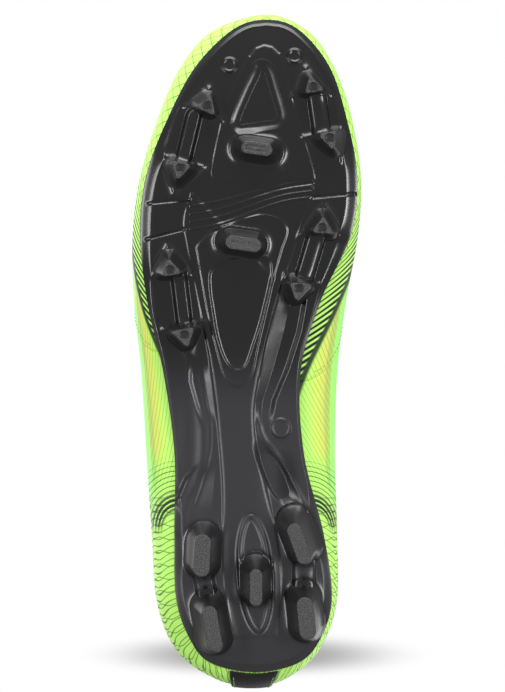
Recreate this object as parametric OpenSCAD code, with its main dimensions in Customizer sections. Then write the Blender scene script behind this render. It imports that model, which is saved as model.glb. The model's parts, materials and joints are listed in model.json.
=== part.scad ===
// Soccer cleat for the right foot, on moulded studs.
// X runs from heel to toe, Y to the inner (medial) side, Z up. The origin is at the
// middle of the footprint, on the ground under the stud tips.

/* [Overall size] */
// Length of the sole plate from heel to toe
sole_length = 284; // [237:1:341]
// Breadth of the sole plate across the ball of the foot
ball_breadth = 94; // [78:1:113]
// Height of the closed form over the ankle, above the sole plate
form_height = 102; // [86:1:122]

/* [Sole plate] */
// Thickness of the sole plate
plate_thickness = 3; // [2.4:0.1:3.6]
// Width of the bevel round the underside of the plate
plate_bevel = 4; // [3:0.1:5]
// Rise of the plate from the ball to the toe tip
toe_spring = 12.5; // [10:0.5:15]
// Rise of the plate under the arch
arch_rise = 2; // [1.6:0.1:3]
// Height of the ribs that tie the studs together
rib_height = 2.6; // [2:0.1:3.2]
// Height of the raised spine along the waist
spine_height = 1.4; // [1:0.1:1.8]

/* [Studs] */
// Height of the forefoot studs below the plate
fore_stud_height = 9.5; // [8:0.5:11.5]
// Height of the heel studs below the plate
heel_stud_height = 12.5; // [10.5:0.5:15]
// Depth to which a stud is seated in the plate
stud_seat = 1.2; // [0.9:0.1:1.6]
// Rounding radius of the corners of a stud
stud_corner = 1.6; // [1.3:0.1:2]
// Radius of the round recess in a forefoot stud tip
stud_recess_radius = 2; // [1.5:0.1:2.4]
// Depth of the round recess in a forefoot stud tip
stud_recess_depth = 0.8; // [0.5:0.1:1.2]

/* [Upper] */
// Thickness of the printed outer shell
shell_thickness = 1.3; // [1:0.1:1.6]
// Thickness of the toe puff and the heel counter
stiffener_thickness = 0.8; // [0.6:0.1:1]
// Thickness of the lining
lining_thickness = 0.7; // [0.5:0.1:0.9]
// Clearance between two layers of the upper
layer_gap = 0.25; // [0.2:0.05:0.4]
// Width of the margin that is pulled under the insole board
lasting_margin = 12; // [9:0.5:14]
// Extra thickness of the collar padding at its fullest
collar_padding = 2.8; // [2:0.1:3.6]
// Thickness of the lace bands
band_thickness = 1.2; // [0.9:0.1:1.5]

/* [Inside] */
// Thickness of the insole board
board_thickness = 1.6; // [1.2:0.1:2]
// Thickness of the sockliner
sockliner_thickness = 3; // [2.4:0.1:3.8]
// Clearance round the loose sockliner
sockliner_clearance = 1.2; // [1:0.1:2]
// Clearance between two layers of the bottom
bottom_gap = 0.1; // [0.05:0.05:0.2]

/* [Tongue and lace] */
// Thickness of the tongue
tongue_thickness = 4; // [3.2:0.1:4.8]
// Share of the tongue's thickness that is its face fabric
tongue_face_share = 0.25; // [0.2:0.05:0.4]
// Diameter of the lace
lace_diameter = 2.6; // [2.2:0.1:3.2]
// Clearance of the lace in an eyelet, on the radius
eyelet_clearance = 1; // [0.8:0.1:1.2]
// Number of eyelets on each side
eyelet_count = 6; // [4:1:6]

/* [Hidden] */

LATERAL = -1;
MEDIAL = 1;

// ---- Design tables, in mm on a plate 284 long and 94 broad -------------------------
design_length = 284;
design_breadth = 94;
design_form_height = 102;
long_k = sole_length / design_length;
wide_k = ball_breadth / design_breadth;
tall_k = form_height / design_form_height;

// Outline of the sole plate: distance from the heel, lateral and medial half breadth
plate_heel = [0, 3];
plate_toe = [284, 8];
plate_rows = [[4, 16, 21.5], [14, 25, 31], [32, 31.2, 36.3], [60, 32, 32.8], [95, 32, 24.2],
    [130, 36.8, 22.8], [160, 43.6, 31], [190, 46.8, 44.6], [215, 44.2, 47.2], [240, 35, 42.8],
    [263, 22.9, 35.4], [279.5, 6.6, 22]];

// Widest line of the upper, in the same form
girth_heel = [-8, 1.5];
girth_toe = [287, 8];
girth_rows = [[-5, 14, 16], [7, 31, 30.5], [28, 40, 38.8], [58, 42.4, 39.2], [95, 44.9, 38.2],
    [130, 47, 39.2], [160, 49.9, 42.7], [190, 50.5, 48], [216, 47.1, 49.2], [244, 38.5, 44.6],
    [265, 29, 37], [280, 15.5, 26]];
// Height of the widest line above the plate, from heel to toe
girth_heights = [26, 26, 26, 25, 24, 24, 22, 19, 16, 15, 14.5, 14, 13, 12];

// Ridge along the top of the closed form: distance from the heel, offset to the
// medial side and height above the plate
ridge_rows = [[14, 1.5, 102], [18, 1.5, 102], [28, 1.5, 102], [42, 1, 101], [66, 0.5, 99],
    [98, 0, 90], [131, 0, 76], [160, 1, 65], [188, 3, 57], [211, 5, 50], [232, 7, 43],
    [249, 8, 36], [262, 8.5, 29], [268, 8.5, 25]];
spans = len(ridge_rows) - 1;

// Share of the way from the plate to the ridge at which the collar and throat edge runs
edge_shares = [0.63, 0.625, 0.6, 0.565, 0.55, 0.63, 0.77, 0.8, 0.8];

// Forefoot studs: three base corners, three tip corners and the recess, seen from above
fore_studs = [
    [[[253, -17], [245, -27], [239, -12]], [[249, -15.5], [244.5, -23.5], [240, -13.5]], [245, -17.6]],
    [[[224, -36.5], [219, -19.5], [208, -32]], [[221.5, -33.5], [219.5, -23.5], [212, -30.5]], [218.2, -29]],
    [[[185, -34.5], [172, -41.5], [172, -25]], [[180, -34.5], [171, -37.5], [172.5, -27.5]], [174.2, -33.4]],
    [[[149, -36.5], [152.5, -20], [139, -26]], [[148, -33.5], [150, -22.5], [140, -25.8]], [146.3, -27.3]],
    [[[262, 25], [250, 19.5], [250.5, 35]], [[259, 26.5], [250, 24], [251.5, 33.5]], [253.2, 28.2]],
    [[[232, 24], [235.5, 40.5], [221, 39.5]], [[232.5, 29.5], [234.5, 38.5], [224.5, 37.3]], [231, 35.2]],
    [[[202.5, 32], [189.5, 22.5], [189, 40]], [[198, 32.5], [190, 26.5], [189.5, 37.3]], [192.3, 32]],
    [[[173, 16], [169, 30], [159, 18.5]], [[169, 17.5], [168.5, 28.7], [160, 20.5]], [166.2, 22]]];

// Long studs: centre, half length and half width of base and tip, turn in degrees
long_studs = [
    [[226, 3.8], [11.6, 6.6], [226.5, 3.8], [7, 3], 98],
    [[186, -3], [11.6, 6.6], [185.5, -2], [8, 3.2], 98],
    [[53.5, -19.5], [12, 7.6], [51.5, -19.7], [9.4, 3.8], 3],
    [[22.8, -16], [14, 7.6], [20, -15.4], [10.2, 3.5], -10],
    [[60, 22], [13, 7.2], [56.5, 22], [9.4, 3.4], -20],
    [[27.5, 24.5], [13.2, 7.4], [24.5, 25], [9.4, 3.8], -6],
    [[41, 3.2], [11.4, 7], [37.7, 3.4], [8.2, 3], 0]];

// ---- Helpers ------------------------------------------------------------------------
function clamp(t) = min(1, max(0, t));
function smooth(t) = let (c = clamp(t)) c * c * (3 - 2 * c);
function mix(a, b, t) = a + (b - a) * t;
function unit(v) = v / max(norm(v), 1e-9);

// Smooth curve through four neighbours, t from the second to the third
function curve(a, b, c, d, t) =
    b + (c - a) * t / 2 + (2 * a - 5 * b + 4 * c - d) * t * t / 2
    + (3 * b - a - 3 * c + d) * t * t * t / 2;
function loop_at(list, s) = let (n = len(list), i = floor(s), t = s - i)
    curve(list[(i + n - 1) % n], list[(i + n) % n], list[(i + 1) % n], list[(i + 2) % n], t);
function line_at(list, s) = let (n = len(list) - 1, i = min(n - 1, max(0, floor(s))), t = s - i)
    curve(list[max(0, i - 1)], list[i], list[i + 1], list[min(n, i + 2)], t);

// A closed loop from the heel along the lateral side to the toe and back
function loop_of(heel, rows, toe) = concat(
    [heel], [for (r = rows) [r[0], -r[1]]], [toe],
    [for (i = [len(rows) - 1 : -1 : 0]) [rows[i][0], rows[i][2]]]);
plate_loop = loop_of(plate_heel, plate_rows, plate_toe);
girth_loop = loop_of(girth_heel, girth_rows, girth_toe);

// Plan position in the part's frame of a point in the design tables
mid_x = (girth_heel[0] + girth_toe[0]) / 2;
function place(p) = [(p[0] - mid_x) * long_k, p[1] * wide_k];
function side_point(loop, u, side) = place(loop_at(loop, side == LATERAL ? u * spans : (2 - u) * spans));

// Point of the plate's outline, moved inwards by inset
function outline(u, side, inset) = let (
    step = 0.004,
    p = side_point(plate_loop, u, side),
    q = side_point(plate_loop, u + step, side) - side_point(plate_loop, u - step + (u < step ? 2 : 0), side),
    t = unit(q) * -side) p + inset * [-t[1], t[0]];

// ---- Profile of the plate's underside ----------------------------------------------
ball_x = (195 - mid_x) * long_k;
waist_x = (130 - mid_x) * long_k;
toe_x = (plate_toe[0] - mid_x) * long_k;
heel_x = -mid_x * long_k;
arch_from = (40 - mid_x) * long_k;
arch_to = (170 - mid_x) * long_k;
heel_curl = 1.5;
heel_curl_length = 25;
function sole_z(x) = fore_stud_height
    + toe_spring * pow(max(0, x - ball_x) / (toe_x - ball_x), 2.2)
    + (heel_stud_height - fore_stud_height) * smooth((ball_x - x) / (ball_x - waist_x))
    + arch_rise * pow(sin(180 * clamp((x - arch_from) / (arch_to - arch_from))), 2)
    + heel_curl * pow(clamp((heel_x + heel_curl_length - x) / heel_curl_length), 2);
function plate_top(x) = sole_z(x) + plate_thickness;
// Height of a stud's tip: on the ground, except at the toe, where the plate springs up
function tip_z(x) = x > ball_x ? sole_z(x) - fore_stud_height : 0;

// ---- Form of the upper ---------------------------------------------------------------
feather_inset = 1;
seat_gap = 0.05; // line of cement between the plate and the upper
low_share = 0.35; // share of a section below the widest line
low_bulge = 0.7; // how soon a section swells out above the plate
low_lift = 0.12; // how steeply it leaves the plate
low_upright = 0.55; // how upright it stands just below the widest line
fore_from = 0.35; // where along the shoe the section turns from ankle to forefoot
fore_length = 0.4;
high_upright = [0.3, 0.5]; // how upright a section stands above the widest line, rear and fore
high_round = [0.35, 0.6]; // how far it rounds over to the ridge, rear and fore
function bezier(a, b, c, d, t) = let (s = 1 - t)
    s * s * s * a + 3 * s * s * t * b + 3 * s * t * t * c + t * t * t * d;

function section(u, side, share) = let (
    f2 = outline(u, side, feather_inset),
    f = [f2[0], f2[1], plate_top(f2[0]) + seat_gap],
    w2 = side_point(girth_loop, u, side),
    w = [w2[0], w2[1], plate_top(f2[0]) + tall_k * line_at(girth_heights, u * spans)],
    r3 = line_at(ridge_rows, u * spans),
    r2 = place(r3),
    r = [r2[0], r2[1], plate_top(r2[0]) + tall_k * r3[2]],
    out = [w[0] - f[0], w[1] - f[1], 0],
    rise = w[2] - f[2],
    fore = smooth((u - fore_from) / fore_length),
    up = mix(high_upright[0], high_upright[1], fore) * (r[2] - w[2]),
    over = mix(high_round[0], high_round[1], fore))
    share < 0 ? let (m = outline(u, side, feather_inset - share * lasting_margin))
        [m[0], m[1], plate_top(m[0]) + seat_gap]
    : share < low_share
        ? bezier(f, f + low_bulge * out + [0, 0, low_lift * rise], w - [0, 0, low_upright * rise], w,
            share / low_share)
        : bezier(w, w + [0, 0, up], r + over * [w[0] - r[0], w[1] - r[1], 0], r,
            (share - low_share) / (1 - low_share));

// Point of the form: u from heel to toe, v from the lateral plate edge (-1) over the
// ridge (0) to the medial plate edge (1); past 1 it runs under the insole board
function form(u, v) = u > 1 ? form(2 - u, -v) : u < 0 ? form(-u, -v)
    : section(u, v < 0 ? LATERAL : MEDIAL, 1 - abs(v));
function form_normal(u, v) = let (
    e = 0.006,
    c = abs(v) < 1e-6 ? min(0.98, max(0.02, u)) : u)
    unit(cross(form(c + e, v) - form(c - e, v), form(c, v + e) - form(c, v - e)));
// The same point, moved inwards by depth
function skin(u, v, depth) = form(u, v) - depth * form_normal(u, v);

// ---- Lofted solids --------------------------------------------------------------------
// A solid through rings of equally many points, counter-clockwise from above, lowest first
module loft(rings) {
    n = len(rings[0]);
    last = len(rings) - 1;
    faces = concat([[for (k = [0:n - 1]) k]], [[for (k = [n - 1:-1:0]) last * n + k]],
        [for (i = [0:last - 1], k = [0:n - 1]) let (a = i * n + k, b = i * n + (k + 1) % n)
            each [[a, a + n, b + n], [a, b + n, b]]]);
    polyhedron(points = [for (r = rings) each r], faces = faces, convexity = 6);
}
function cross2(a, b) = a[0] * b[1] - a[1] * b[0];
function reversed(list) = [for (i = [len(list) - 1:-1:0]) list[i]];

// ---- Solids built on the form --------------------------------------------------------
// A panel of nu by nv cells between two depths. at(a, b) gives [u, v], outer(a, b) and
// inner(a, b) give the depths; a zipped panel closes round the toe at a = 1.
module panel(at, outer, inner, nu, nv, zipped = false) {
    row = nv + 1;
    count = (nu + 1) * row;
    function index(i, j) = i * row + (zipped && i == nu && j > nv / 2 ? nv - j : j);
    function quad(a, b, c, d) = [[a, b, c], [a, c, d]];
    points = [for (inside = [0, 1], i = [0:nu], j = [0:nv]) let (
        a = i / nu, b = j / nv, p = at(a, b))
        skin(p[0], p[1], inside == 0 ? outer(a, b) : inner(a, b))];
    faces = concat(
        [for (i = [0:nu - 1], j = [0:nv - 1])
            each quad(index(i, j), index(i, j + 1), index(i + 1, j + 1), index(i + 1, j))],
        [for (i = [0:nu - 1], j = [0:nv - 1])
            each quad(count + index(i, j), count + index(i + 1, j),
                count + index(i + 1, j + 1), count + index(i, j + 1))],
        [for (i = [0:nu - 1]) each quad(index(i, 0), index(i + 1, 0),
            count + index(i + 1, 0), count + index(i, 0))],
        [for (i = [0:nu - 1]) each quad(index(i + 1, nv), index(i, nv),
            count + index(i, nv), count + index(i + 1, nv))],
        [for (j = [0:nv - 1]) each quad(index(0, j + 1), index(0, j),
            count + index(0, j), count + index(0, j + 1))],
        zipped ? [] : [for (j = [0:nv - 1]) each quad(index(nu, j), index(nu, j + 1),
            count + index(nu, j + 1), count + index(nu, j))]);
    middle = at(0.5, 0.5);
    flipped = cross2(at(0.51, 0.5) - middle, at(0.5, 0.51) - middle) < 0;
    polyhedron(points = points, faces = [for (f = faces) flipped ? reversed(f) : f], convexity = 8);
}

// A slab of the bottom. layers lists [inset, height above the plate's underside] from
// the lowest edge to the highest.
module bottom_slab(layers, rings = 44) {
    end = 0.004;
    function corner(u, side, layer) = let (p = outline(u, side, layer[0]))
        [p[0], p[1], sole_z(p[0]) + layer[1]];
    loft([for (i = [0:rings]) let (u = mix(end, 1 - end, i / rings)) concat(
        [for (l = reversed(layers)) corner(u, LATERAL, l)], [for (l = layers) corner(u, MEDIAL, l)])]);
}

// ---- Plan outlines of studs ---------------------------------------------------------
// A triangle with round corners, as points counter-clockwise from its first corner
corner_steps = 4;
function rounded(corners, radius) = let (
    placed = [for (p = corners) place(p)],
    ccw = cross2(placed[1] - placed[0], placed[2] - placed[0]) > 0,
    t = ccw ? placed : [placed[0], placed[2], placed[1]])
    [for (i = [0:2]) let (
        p = t[i], to_last = unit(t[(i + 2) % 3] - p), to_next = unit(t[(i + 1) % 3] - p),
        middle = unit(to_last + to_next),
        centre = p + middle * radius / max(0.2, abs(cross2(middle, to_next))),
        from = atan2(-to_last[0], to_last[1]) + 180,
        to = atan2(-to_next[0], to_next[1]),
        turn = ((to - from) % 360 + 360) % 360)
        for (k = [0:corner_steps]) let (angle = from + turn * k / corner_steps)
            centre + radius * [cos(angle), sin(angle)]];
oval_points = 20;
function oval(centre, half, turn) = let (c = place(centre)) [for (k = [0:oval_points - 1]) let (
    angle = 360 * (k + 0.5) / oval_points,
    x = sign(cos(angle)) * (half[0] - half[1]) + half[1] * cos(angle),
    y = half[1] * sin(angle))
    c + [x * cos(turn) - y * sin(turn), x * sin(turn) + y * cos(turn)]];

// ---- Studs ----------------------------------------------------------------------------
// A stud from its flat tip to its base, which is seated in the plate
module stud_between(c, base, tip) {
    slope = sole_z(c[0] + 0.5) - sole_z(c[0] - 0.5);
    loft([[for (p = tip) [p[0], p[1], tip_z(c[0])]],
        [for (p = base) [p[0], p[1], sole_z(c[0]) + stud_seat + slope * (p[0] - c[0])]]]);
}
tip_corner = 0.9;
module fore_stud_body(i) {
    s = fore_studs[i];
    c = place((s[0][0] + s[0][1] + s[0][2]) / 3);
    stud_between(c, rounded(s[0], stud_corner), rounded(s[1], tip_corner));
}
module fore_stud(i) {
    s = fore_studs[i];
    c = place((s[0][0] + s[0][1] + s[0][2]) / 3);
    r = place(s[2]);
    difference() {
        fore_stud_body(i);
        translate([r[0], r[1], tip_z(c[0]) - 1])
            cylinder(r = stud_recess_radius, h = 1 + stud_recess_depth, $fn = 24);
    }
}
module long_stud(i) {
    s = long_studs[i];
    stud_between(place(s[0]), oval(s[0], s[1], s[4]), oval(s[2], s[3], s[4]));
}
stud_colour = [0.09, 0.09, 0.1];
module stud_lateral(k) { color(stud_colour) fore_stud(k - 1); }
module stud_medial(k) { color(stud_colour) fore_stud(k + 3); }
module stud_centre(k) { color(stud_colour) long_stud(k); }
module heel_stud(k) { color(stud_colour) long_stud(k + 2); }

// ---- Outsole ---------------------------------------------------------------------------
rib_flank = 1; // how far a rib's root stands out past its flat underside
rib_root = 1; // how far a rib or the spine runs into the plate
// A rib between two plan points, of the given widths, flat on its underside
module rib(a, b, wa, wb, height) {
    pa = place(a);
    pb = place(b);
    along = unit(pb - pa);
    side = [along[1], -along[0]];
    function ring(grow, dz) = [for (e = [[pa, wa, 1], [pb, wb, 1], [pb, wb, -1], [pa, wa, -1]])
        let (p = e[0] + e[2] * (e[1] / 2 + grow) * side) [p[0], p[1], sole_z(e[0][0]) + dz]];
    loft([ring(0, -height), ring(rib_flank, rib_root)]);
}
// The raised spine: [x, y, half width] from heel to toe
spine_rows = [[70, 1, 8], [82, 0, 7], [104, -4, 6], [128, -4, 7], [148, -6, 8]];
module spine() {
    low = -0.6;
    high = 0.6;
    loft([for (r = spine_rows) let (p = place(r), z = sole_z(p[0])) [
        [p[0], p[1] - r[2] - low, z - spine_height], [p[0], p[1] + r[2] + low, z - spine_height],
        [p[0], p[1] + r[2] + high, z + rib_root], [p[0], p[1] - r[2] - high, z + rib_root]]]);
}
pads = [[263.5, -8.1, 3.3], [267.5, 20.2, 3.2], [106, 13.6, 4]];
pad_height = 0.9;
triangle_recess = [[262, 6], [236, -4.3], [240, 13.3]];
recess_depth = 0.8;
module outsole() {
    color([0.2, 0.2, 0.21]) difference() {
        union() {
            bottom_slab([[plate_bevel, 0], [0, plate_thickness / 2], [0, plate_thickness]]);
            rib([241, -23.5], [220, -28.5], 5, 5, rib_height);
            rib([172, -30], [151, -27.5], 5, 5, rib_height);
            rib([251, 29.5], [233, 32], 6, 6, rib_height);
            rib([189, 29.5], [169, 23.5], 6, 6, rib_height);
            rib([43, -19.5], [36, -18.5], 7, 7, rib_height + 1);
            rib([49, 24.5], [39, 24], 8, 8, rib_height + 1);
            spine();
            for (p = pads) let (c = place(p)) translate([c[0], c[1], sole_z(c[0]) - pad_height])
                cylinder(r = p[2], h = pad_height + rib_root, $fn = 24);
        }
        translate([0, 0, sole_z(place([248, 5])[0]) - 5])
            linear_extrude(5 + recess_depth) polygon(rounded(triangle_recess, 2));
        for (i = [0:len(fore_studs) - 1]) fore_stud_body(i);
        for (i = [0:len(long_studs) - 1]) long_stud(i);
    }
}

// ---- Depths of the upper's layers, inwards from the form ---------------------------------
stiff_from = shell_thickness + layer_gap;
stiff_to = stiff_from + stiffener_thickness;
lining_from = stiff_to + layer_gap;
lining_to = lining_from + lining_thickness;
board_from = plate_thickness + seat_gap + lining_to + bottom_gap;
board_to = board_from + board_thickness;
function flat(d) = function(a, b) d;
// Extra depth where the collar padding swells
function padding(u, v) = let (share = 1 - abs(v), edge = line_at(edge_shares, abs(u) * spans))
    collar_padding * smooth((0.42 - abs(u)) / 0.08)
    * sin(180 * clamp((share - edge + 0.19) / 0.21)) * (share > edge - 0.19 ? 1 : 0);

// ---- Limits of the panels on the form -----------------------------------------------------
throat_u = 0.577;
seam_gap = 0.0008;
margin_end = 2; // v at the inner edge of the lasting margin
// Seam between the vamp and the quarters
function seam_u(v) = throat_u - (v < 0 ? 0.095 : 0.125) * smooth((abs(v) - 0.2) / 0.8);
function edge_v(u) = 1 - line_at(edge_shares, abs(u) * spans);
// v across a panel that starts in the lasting margin: the margin takes a fixed share
margin_cells = 0.12;
function across(b, top_v) = b < margin_cells
    ? mix(margin_end, 1, b / margin_cells)
    : mix(1, top_v, (b - margin_cells) / (1 - margin_cells));

// ---- Upper -------------------------------------------------------------------------------
green = [0.72, 1, 0.42];
charcoal = [0.2, 0.22, 0.24];
// Both halves of a cap over the toe, from the lateral margin to the medial one
function cap_v(b, top) = b < 0.5 ? -across(2 * b, top) : across(2 - 2 * b, top);
cap_at = function(a, b) let (v = cap_v(b, 0)) [mix(seam_u(v) + seam_gap, 1, a), v];
module vamp() {
    color(green) panel(cap_at, flat(0), flat(shell_thickness), 14, 40, true);
}
module vamp_lining() {
    color(charcoal) panel(cap_at, flat(lining_from), flat(lining_to), 16, 28, true);
}
// From the heel seam to the vamp seam, and from the margin to the collar and throat edge
function quarter_at(side) = function(a, b) let (
    seam_v = across(b, 1 - edge_shares[len(edge_shares) - 1]),
    u = mix(seam_gap / 2, seam_u(side * min(seam_v, 1)) - seam_gap, a))
    [u, side * across(b, edge_v(u))];
module quarter(side) {
    panel(quarter_at(side), flat(0), flat(shell_thickness), 20, 18);
}
function padded_depth(side, depth) = function(a, b) let (p = quarter_at(side)(a, b))
    depth + padding(p[0], p[1]);
module quarter_lining(side) {
    panel(quarter_at(side), padded_depth(side, lining_from), padded_depth(side, lining_to), 16, 16);
}
module quarter_lateral() { color(green) quarter(LATERAL); }
module quarter_medial() { color(green) quarter(MEDIAL); }
module quarter_lining_lateral() { color(charcoal) quarter_lining(LATERAL); }
module quarter_lining_medial() { color(charcoal) quarter_lining(MEDIAL); }

puff_u = 0.87;
puff_v = 0.95;
module toe_puff() {
    at = function(a, b) [mix(puff_u, 1, a), mix(-puff_v, puff_v, b)];
    color("wheat") panel(at, flat(stiff_from), flat(stiff_to), 5, 20, true);
}
counter_u = 0.2;
counter_low = 0.97;
counter_high = 0.62;
module heel_counter() {
    at = function(a, b) [mix(-counter_u, counter_u, a), mix(counter_low, counter_high, b)];
    color("wheat") panel(at, flat(stiff_from), flat(stiff_to), 20, 6);
}
foam_u = 0.35;
foam_band = 0.175;
foam_below_edge = 0.004; // how far below the collar edge it ends
module collar_foam() {
    at = function(a, b) let (u = mix(-foam_u, foam_u, a)) [u, edge_v(u) + mix(foam_band, foam_below_edge, b)];
    inner = function(a, b) let (p = at(a, b)) stiff_to + padding(p[0], p[1]);
    color("khaki") panel(at, flat(stiff_from), inner, 34, 6);
}

strip_u = 0.042;
strip_thickness = 0.8;
strip_low_v = 0.97; // just above the plate
strip_below_edge = 0.005; // how far below the collar edge it ends
module heel_strip() {
    at = function(a, b) [mix(-strip_u, strip_u, a), mix(strip_low_v, edge_v(0) + strip_below_edge, b)];
    color([0.05, 0.05, 0.06]) panel(at, flat(-layer_gap - strip_thickness), flat(-layer_gap), 4, 16);
}

// ---- Lace bands and eyelets ------------------------------------------------------------------
band_top_u = 0.4;
band_bottom_u = 0.6;
band_overlap = 0.08;
band_reach = 0.105;
eyelet_top_u = 0.425;
eyelet_bottom_u = 0.555;
eyelet_reach = 0.055;
band_depth = -layer_gap - band_thickness;
function eyelet_u(k) = mix(eyelet_bottom_u, eyelet_top_u, k / (eyelet_count - 1));
function eyelet_v(k) = edge_v(eyelet_u(k)) - eyelet_reach;
module eyestay(side) {
    at = function(a, b) let (u = mix(band_top_u, band_bottom_u, a))
        [u, side * (edge_v(u) + mix(band_overlap, -band_reach, b))];
    difference() {
        panel(at, flat(band_depth), flat(-layer_gap), 16, 4);
        for (k = [0:eyelet_count - 1]) {
            hole = skin(eyelet_u(k), side * eyelet_v(k), 0);
            n = form_normal(eyelet_u(k), side * eyelet_v(k));
            translate(hole) rotate([0, acos(n[2]), atan2(n[1], n[0])])
                cylinder(r = lace_diameter / 2 + eyelet_clearance, h = 8, center = true, $fn = 24);
        }
    }
}
module eyestay_lateral() { color([0.45, 0.85, 0.3]) eyestay(LATERAL); }
module eyestay_medial() { color([0.45, 0.85, 0.3]) eyestay(MEDIAL); }

// ---- Bottom, between the plate and the foot ------------------------------------------------------
wall_clearance = 0.9; // between the insole board and the lining
wall_inset = feather_inset + lining_to + wall_clearance;
module bottom_filler() {
    inset = feather_inset + lasting_margin + 0.6;
    color("tan") bottom_slab([[inset, plate_thickness + bottom_gap], [inset, board_from - bottom_gap]], 36);
}
module insole_board() {
    color("beige") bottom_slab([[wall_inset, board_from], [wall_inset, board_to]], 36);
}
sockliner_from = board_to + bottom_gap;
module sockliner() {
    inset = wall_inset + sockliner_clearance;
    top = sockliner_from + sockliner_thickness;
    color("dimgray") bottom_slab([[inset, sockliner_from], [inset, top - 0.8], [inset + 1, top]], 36);
}

// ---- Tongue -----------------------------------------------------------------------------------------
tongue_base_u = 0.585;
tongue_top_u = 0.36;
tongue_from = lining_to + 0.9;
tongue_split = tongue_from + tongue_thickness * tongue_face_share;
tongue_flare_at = 0.73;
function tongue_half(a) = 0.15 + 0.055 * a + 0.1 * smooth((a - tongue_flare_at) / (1 - tongue_flare_at));
tongue_at = function(a, b) [mix(tongue_base_u, tongue_top_u, a), tongue_half(a) * (2 * b - 1)];
module tongue_face() {
    color([0.55, 0.9, 0.35]) panel(tongue_at, flat(tongue_from), flat(tongue_split), 16, 8);
}
module tongue_padding() {
    color("gray") panel(tongue_at, flat(tongue_split), flat(tongue_from + tongue_thickness), 16, 8);
}

// ---- Lace ---------------------------------------------------------------------------------------------
lace_r = lace_diameter / 2;
lace_over = band_depth - lace_r - 0.15;
lace_under = lace_r + 0.9;
lace_cross = lace_r + 0.2;
edge_reach = band_reach + 0.012;
// One half of the lace, up from the bottom eyelet on one side to its last eyelet
function crossing(k, side) = let (
    u = eyelet_u(k), v = side * eyelet_v(k), w = eyelet_u(k + 1), x = -side * eyelet_v(k + 1),
    last = k == eyelet_count - 2,
    middle = (k % 2 == 0) == (side == LATERAL) ? -lace_cross - 0.4 : lace_cross - 0.4) [
    skin(u, v, lace_under), skin(u, v, band_depth / 2), skin(u, v, lace_over),
    skin(mix(u, w, 0.22), side * (edge_v(u) - edge_reach), lace_over + 0.3),
    skin(mix(u, w, 0.5), 0, middle),
    skin(mix(u, w, 0.78), -side * (edge_v(w) - edge_reach), last ? lace_over + 0.3 : lace_under - 0.4),
    if (last) each [skin(w, x, lace_over), skin(w, x, band_depth / 2), skin(w, x, lace_under)]];
function half_lace(side) = [for (k = [0:eyelet_count - 2])
    each crossing(k, side * (k % 2 == 0 ? 1 : -1))];
bar_u = eyelet_bottom_u;
lace_bar = [for (s = [LATERAL, 0, MEDIAL])
    skin(bar_u, s * (edge_v(bar_u) - edge_reach), lace_under - 0.2)];
// The ends go in at the top eyelets and are tucked between the tongue and the lining
tuck_u = 0.43;
tuck_depth = lining_to + lace_r + 1.4;
function tucked(side) = [skin(tuck_u, side * 0.25, tuck_depth - 0.6), skin(tuck_u, side * 0.32, tuck_depth)];
function end_side(side) = side * (eyelet_count % 2 == 0 ? -1 : 1);
lace_route = concat(reversed(concat(half_lace(LATERAL), tucked(end_side(LATERAL)))), lace_bar,
    concat(half_lace(MEDIAL), tucked(end_side(MEDIAL))));

// A round tube along a route, with flat ends
module tube(route, radius, sides = 8) {
    last = len(route) - 1;
    across_to = unit([1, 0, 0.5]);
    points = [for (i = [0:last]) let (
        along = unit(route[min(last, i + 1)] - route[max(0, i - 1)]),
        n = unit(cross(along, across_to)), m = cross(along, n))
        for (k = [0:sides - 1]) route[i] + radius * (cos(360 * k / sides) * n + sin(360 * k / sides) * m)];
    faces = concat([[for (k = [0:sides - 1]) k]], [[for (k = [sides - 1:-1:0]) last * sides + k]],
        [for (i = [0:last - 1], k = [0:sides - 1]) let (a = i * sides + k, b = i * sides + (k + 1) % sides)
            each [[a, b + sides, b], [a, a + sides, b + sides]]]);
    polyhedron(points = points, faces = faces, convexity = 10);
}
module lace() { color([0.05, 0.06, 0.07]) tube(lace_route, lace_r); }

// Lace tips, crimped on the ends and tucked between the tongue and the quarter lining
tip_length = 18;
tip_radius = lace_r + 0.2;
tip_gap = 0.6; // from the cut end of the lace's sheath to the tip's mouth
module lace_tip(side) {
    start = tucked(side)[1];
    along = unit(skin(tuck_u, side * 0.5, tuck_depth + 1) - start);
    from = start + tip_gap * along;
    color([0.75, 0.76, 0.78]) tube([from, from + tip_length * along], tip_radius, 12);
}
module lace_tip_lateral() { lace_tip(LATERAL); }
module lace_tip_medial() { lace_tip(MEDIAL); }

outsole();
for (k = [1:4]) {
    stud_lateral(k);
    stud_medial(k);
}
stud_centre(0);  // stud_centre_front
stud_centre(1);  // stud_centre_rear
heel_stud(0);  // heel_stud_lateral_front
heel_stud(1);  // heel_stud_lateral_rear
heel_stud(2);  // heel_stud_medial_front
heel_stud(3);  // heel_stud_medial_rear
heel_stud(4);  // heel_stud_centre
bottom_filler();
insole_board();
sockliner();
vamp();
quarter_lateral();
quarter_medial();
toe_puff();
heel_counter();
vamp_lining();
quarter_lining_lateral();
quarter_lining_medial();
collar_foam();
eyestay_lateral();
eyestay_medial();
heel_strip();
tongue_face();
tongue_padding();
lace();
lace_tip_lateral();
lace_tip_medial();
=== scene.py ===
# %% [markdown]
# # A moulded-stud football boot, seen from under its sole
# The boot is a right one. It stands on its studs at the origin, toe along +X, inner side
# along +Y. The CAD frame gives every piece its place; this lesson gives each one its
# surface. All lengths in the helpers are millimetres and turn into metres only when a
# mesh is made, because a shoemaker's drawing is in millimetres.

# %% Load the frame
import json
import math
import bmesh
import bpy
import numpy as np
from mathutils import Matrix, Vector


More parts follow.
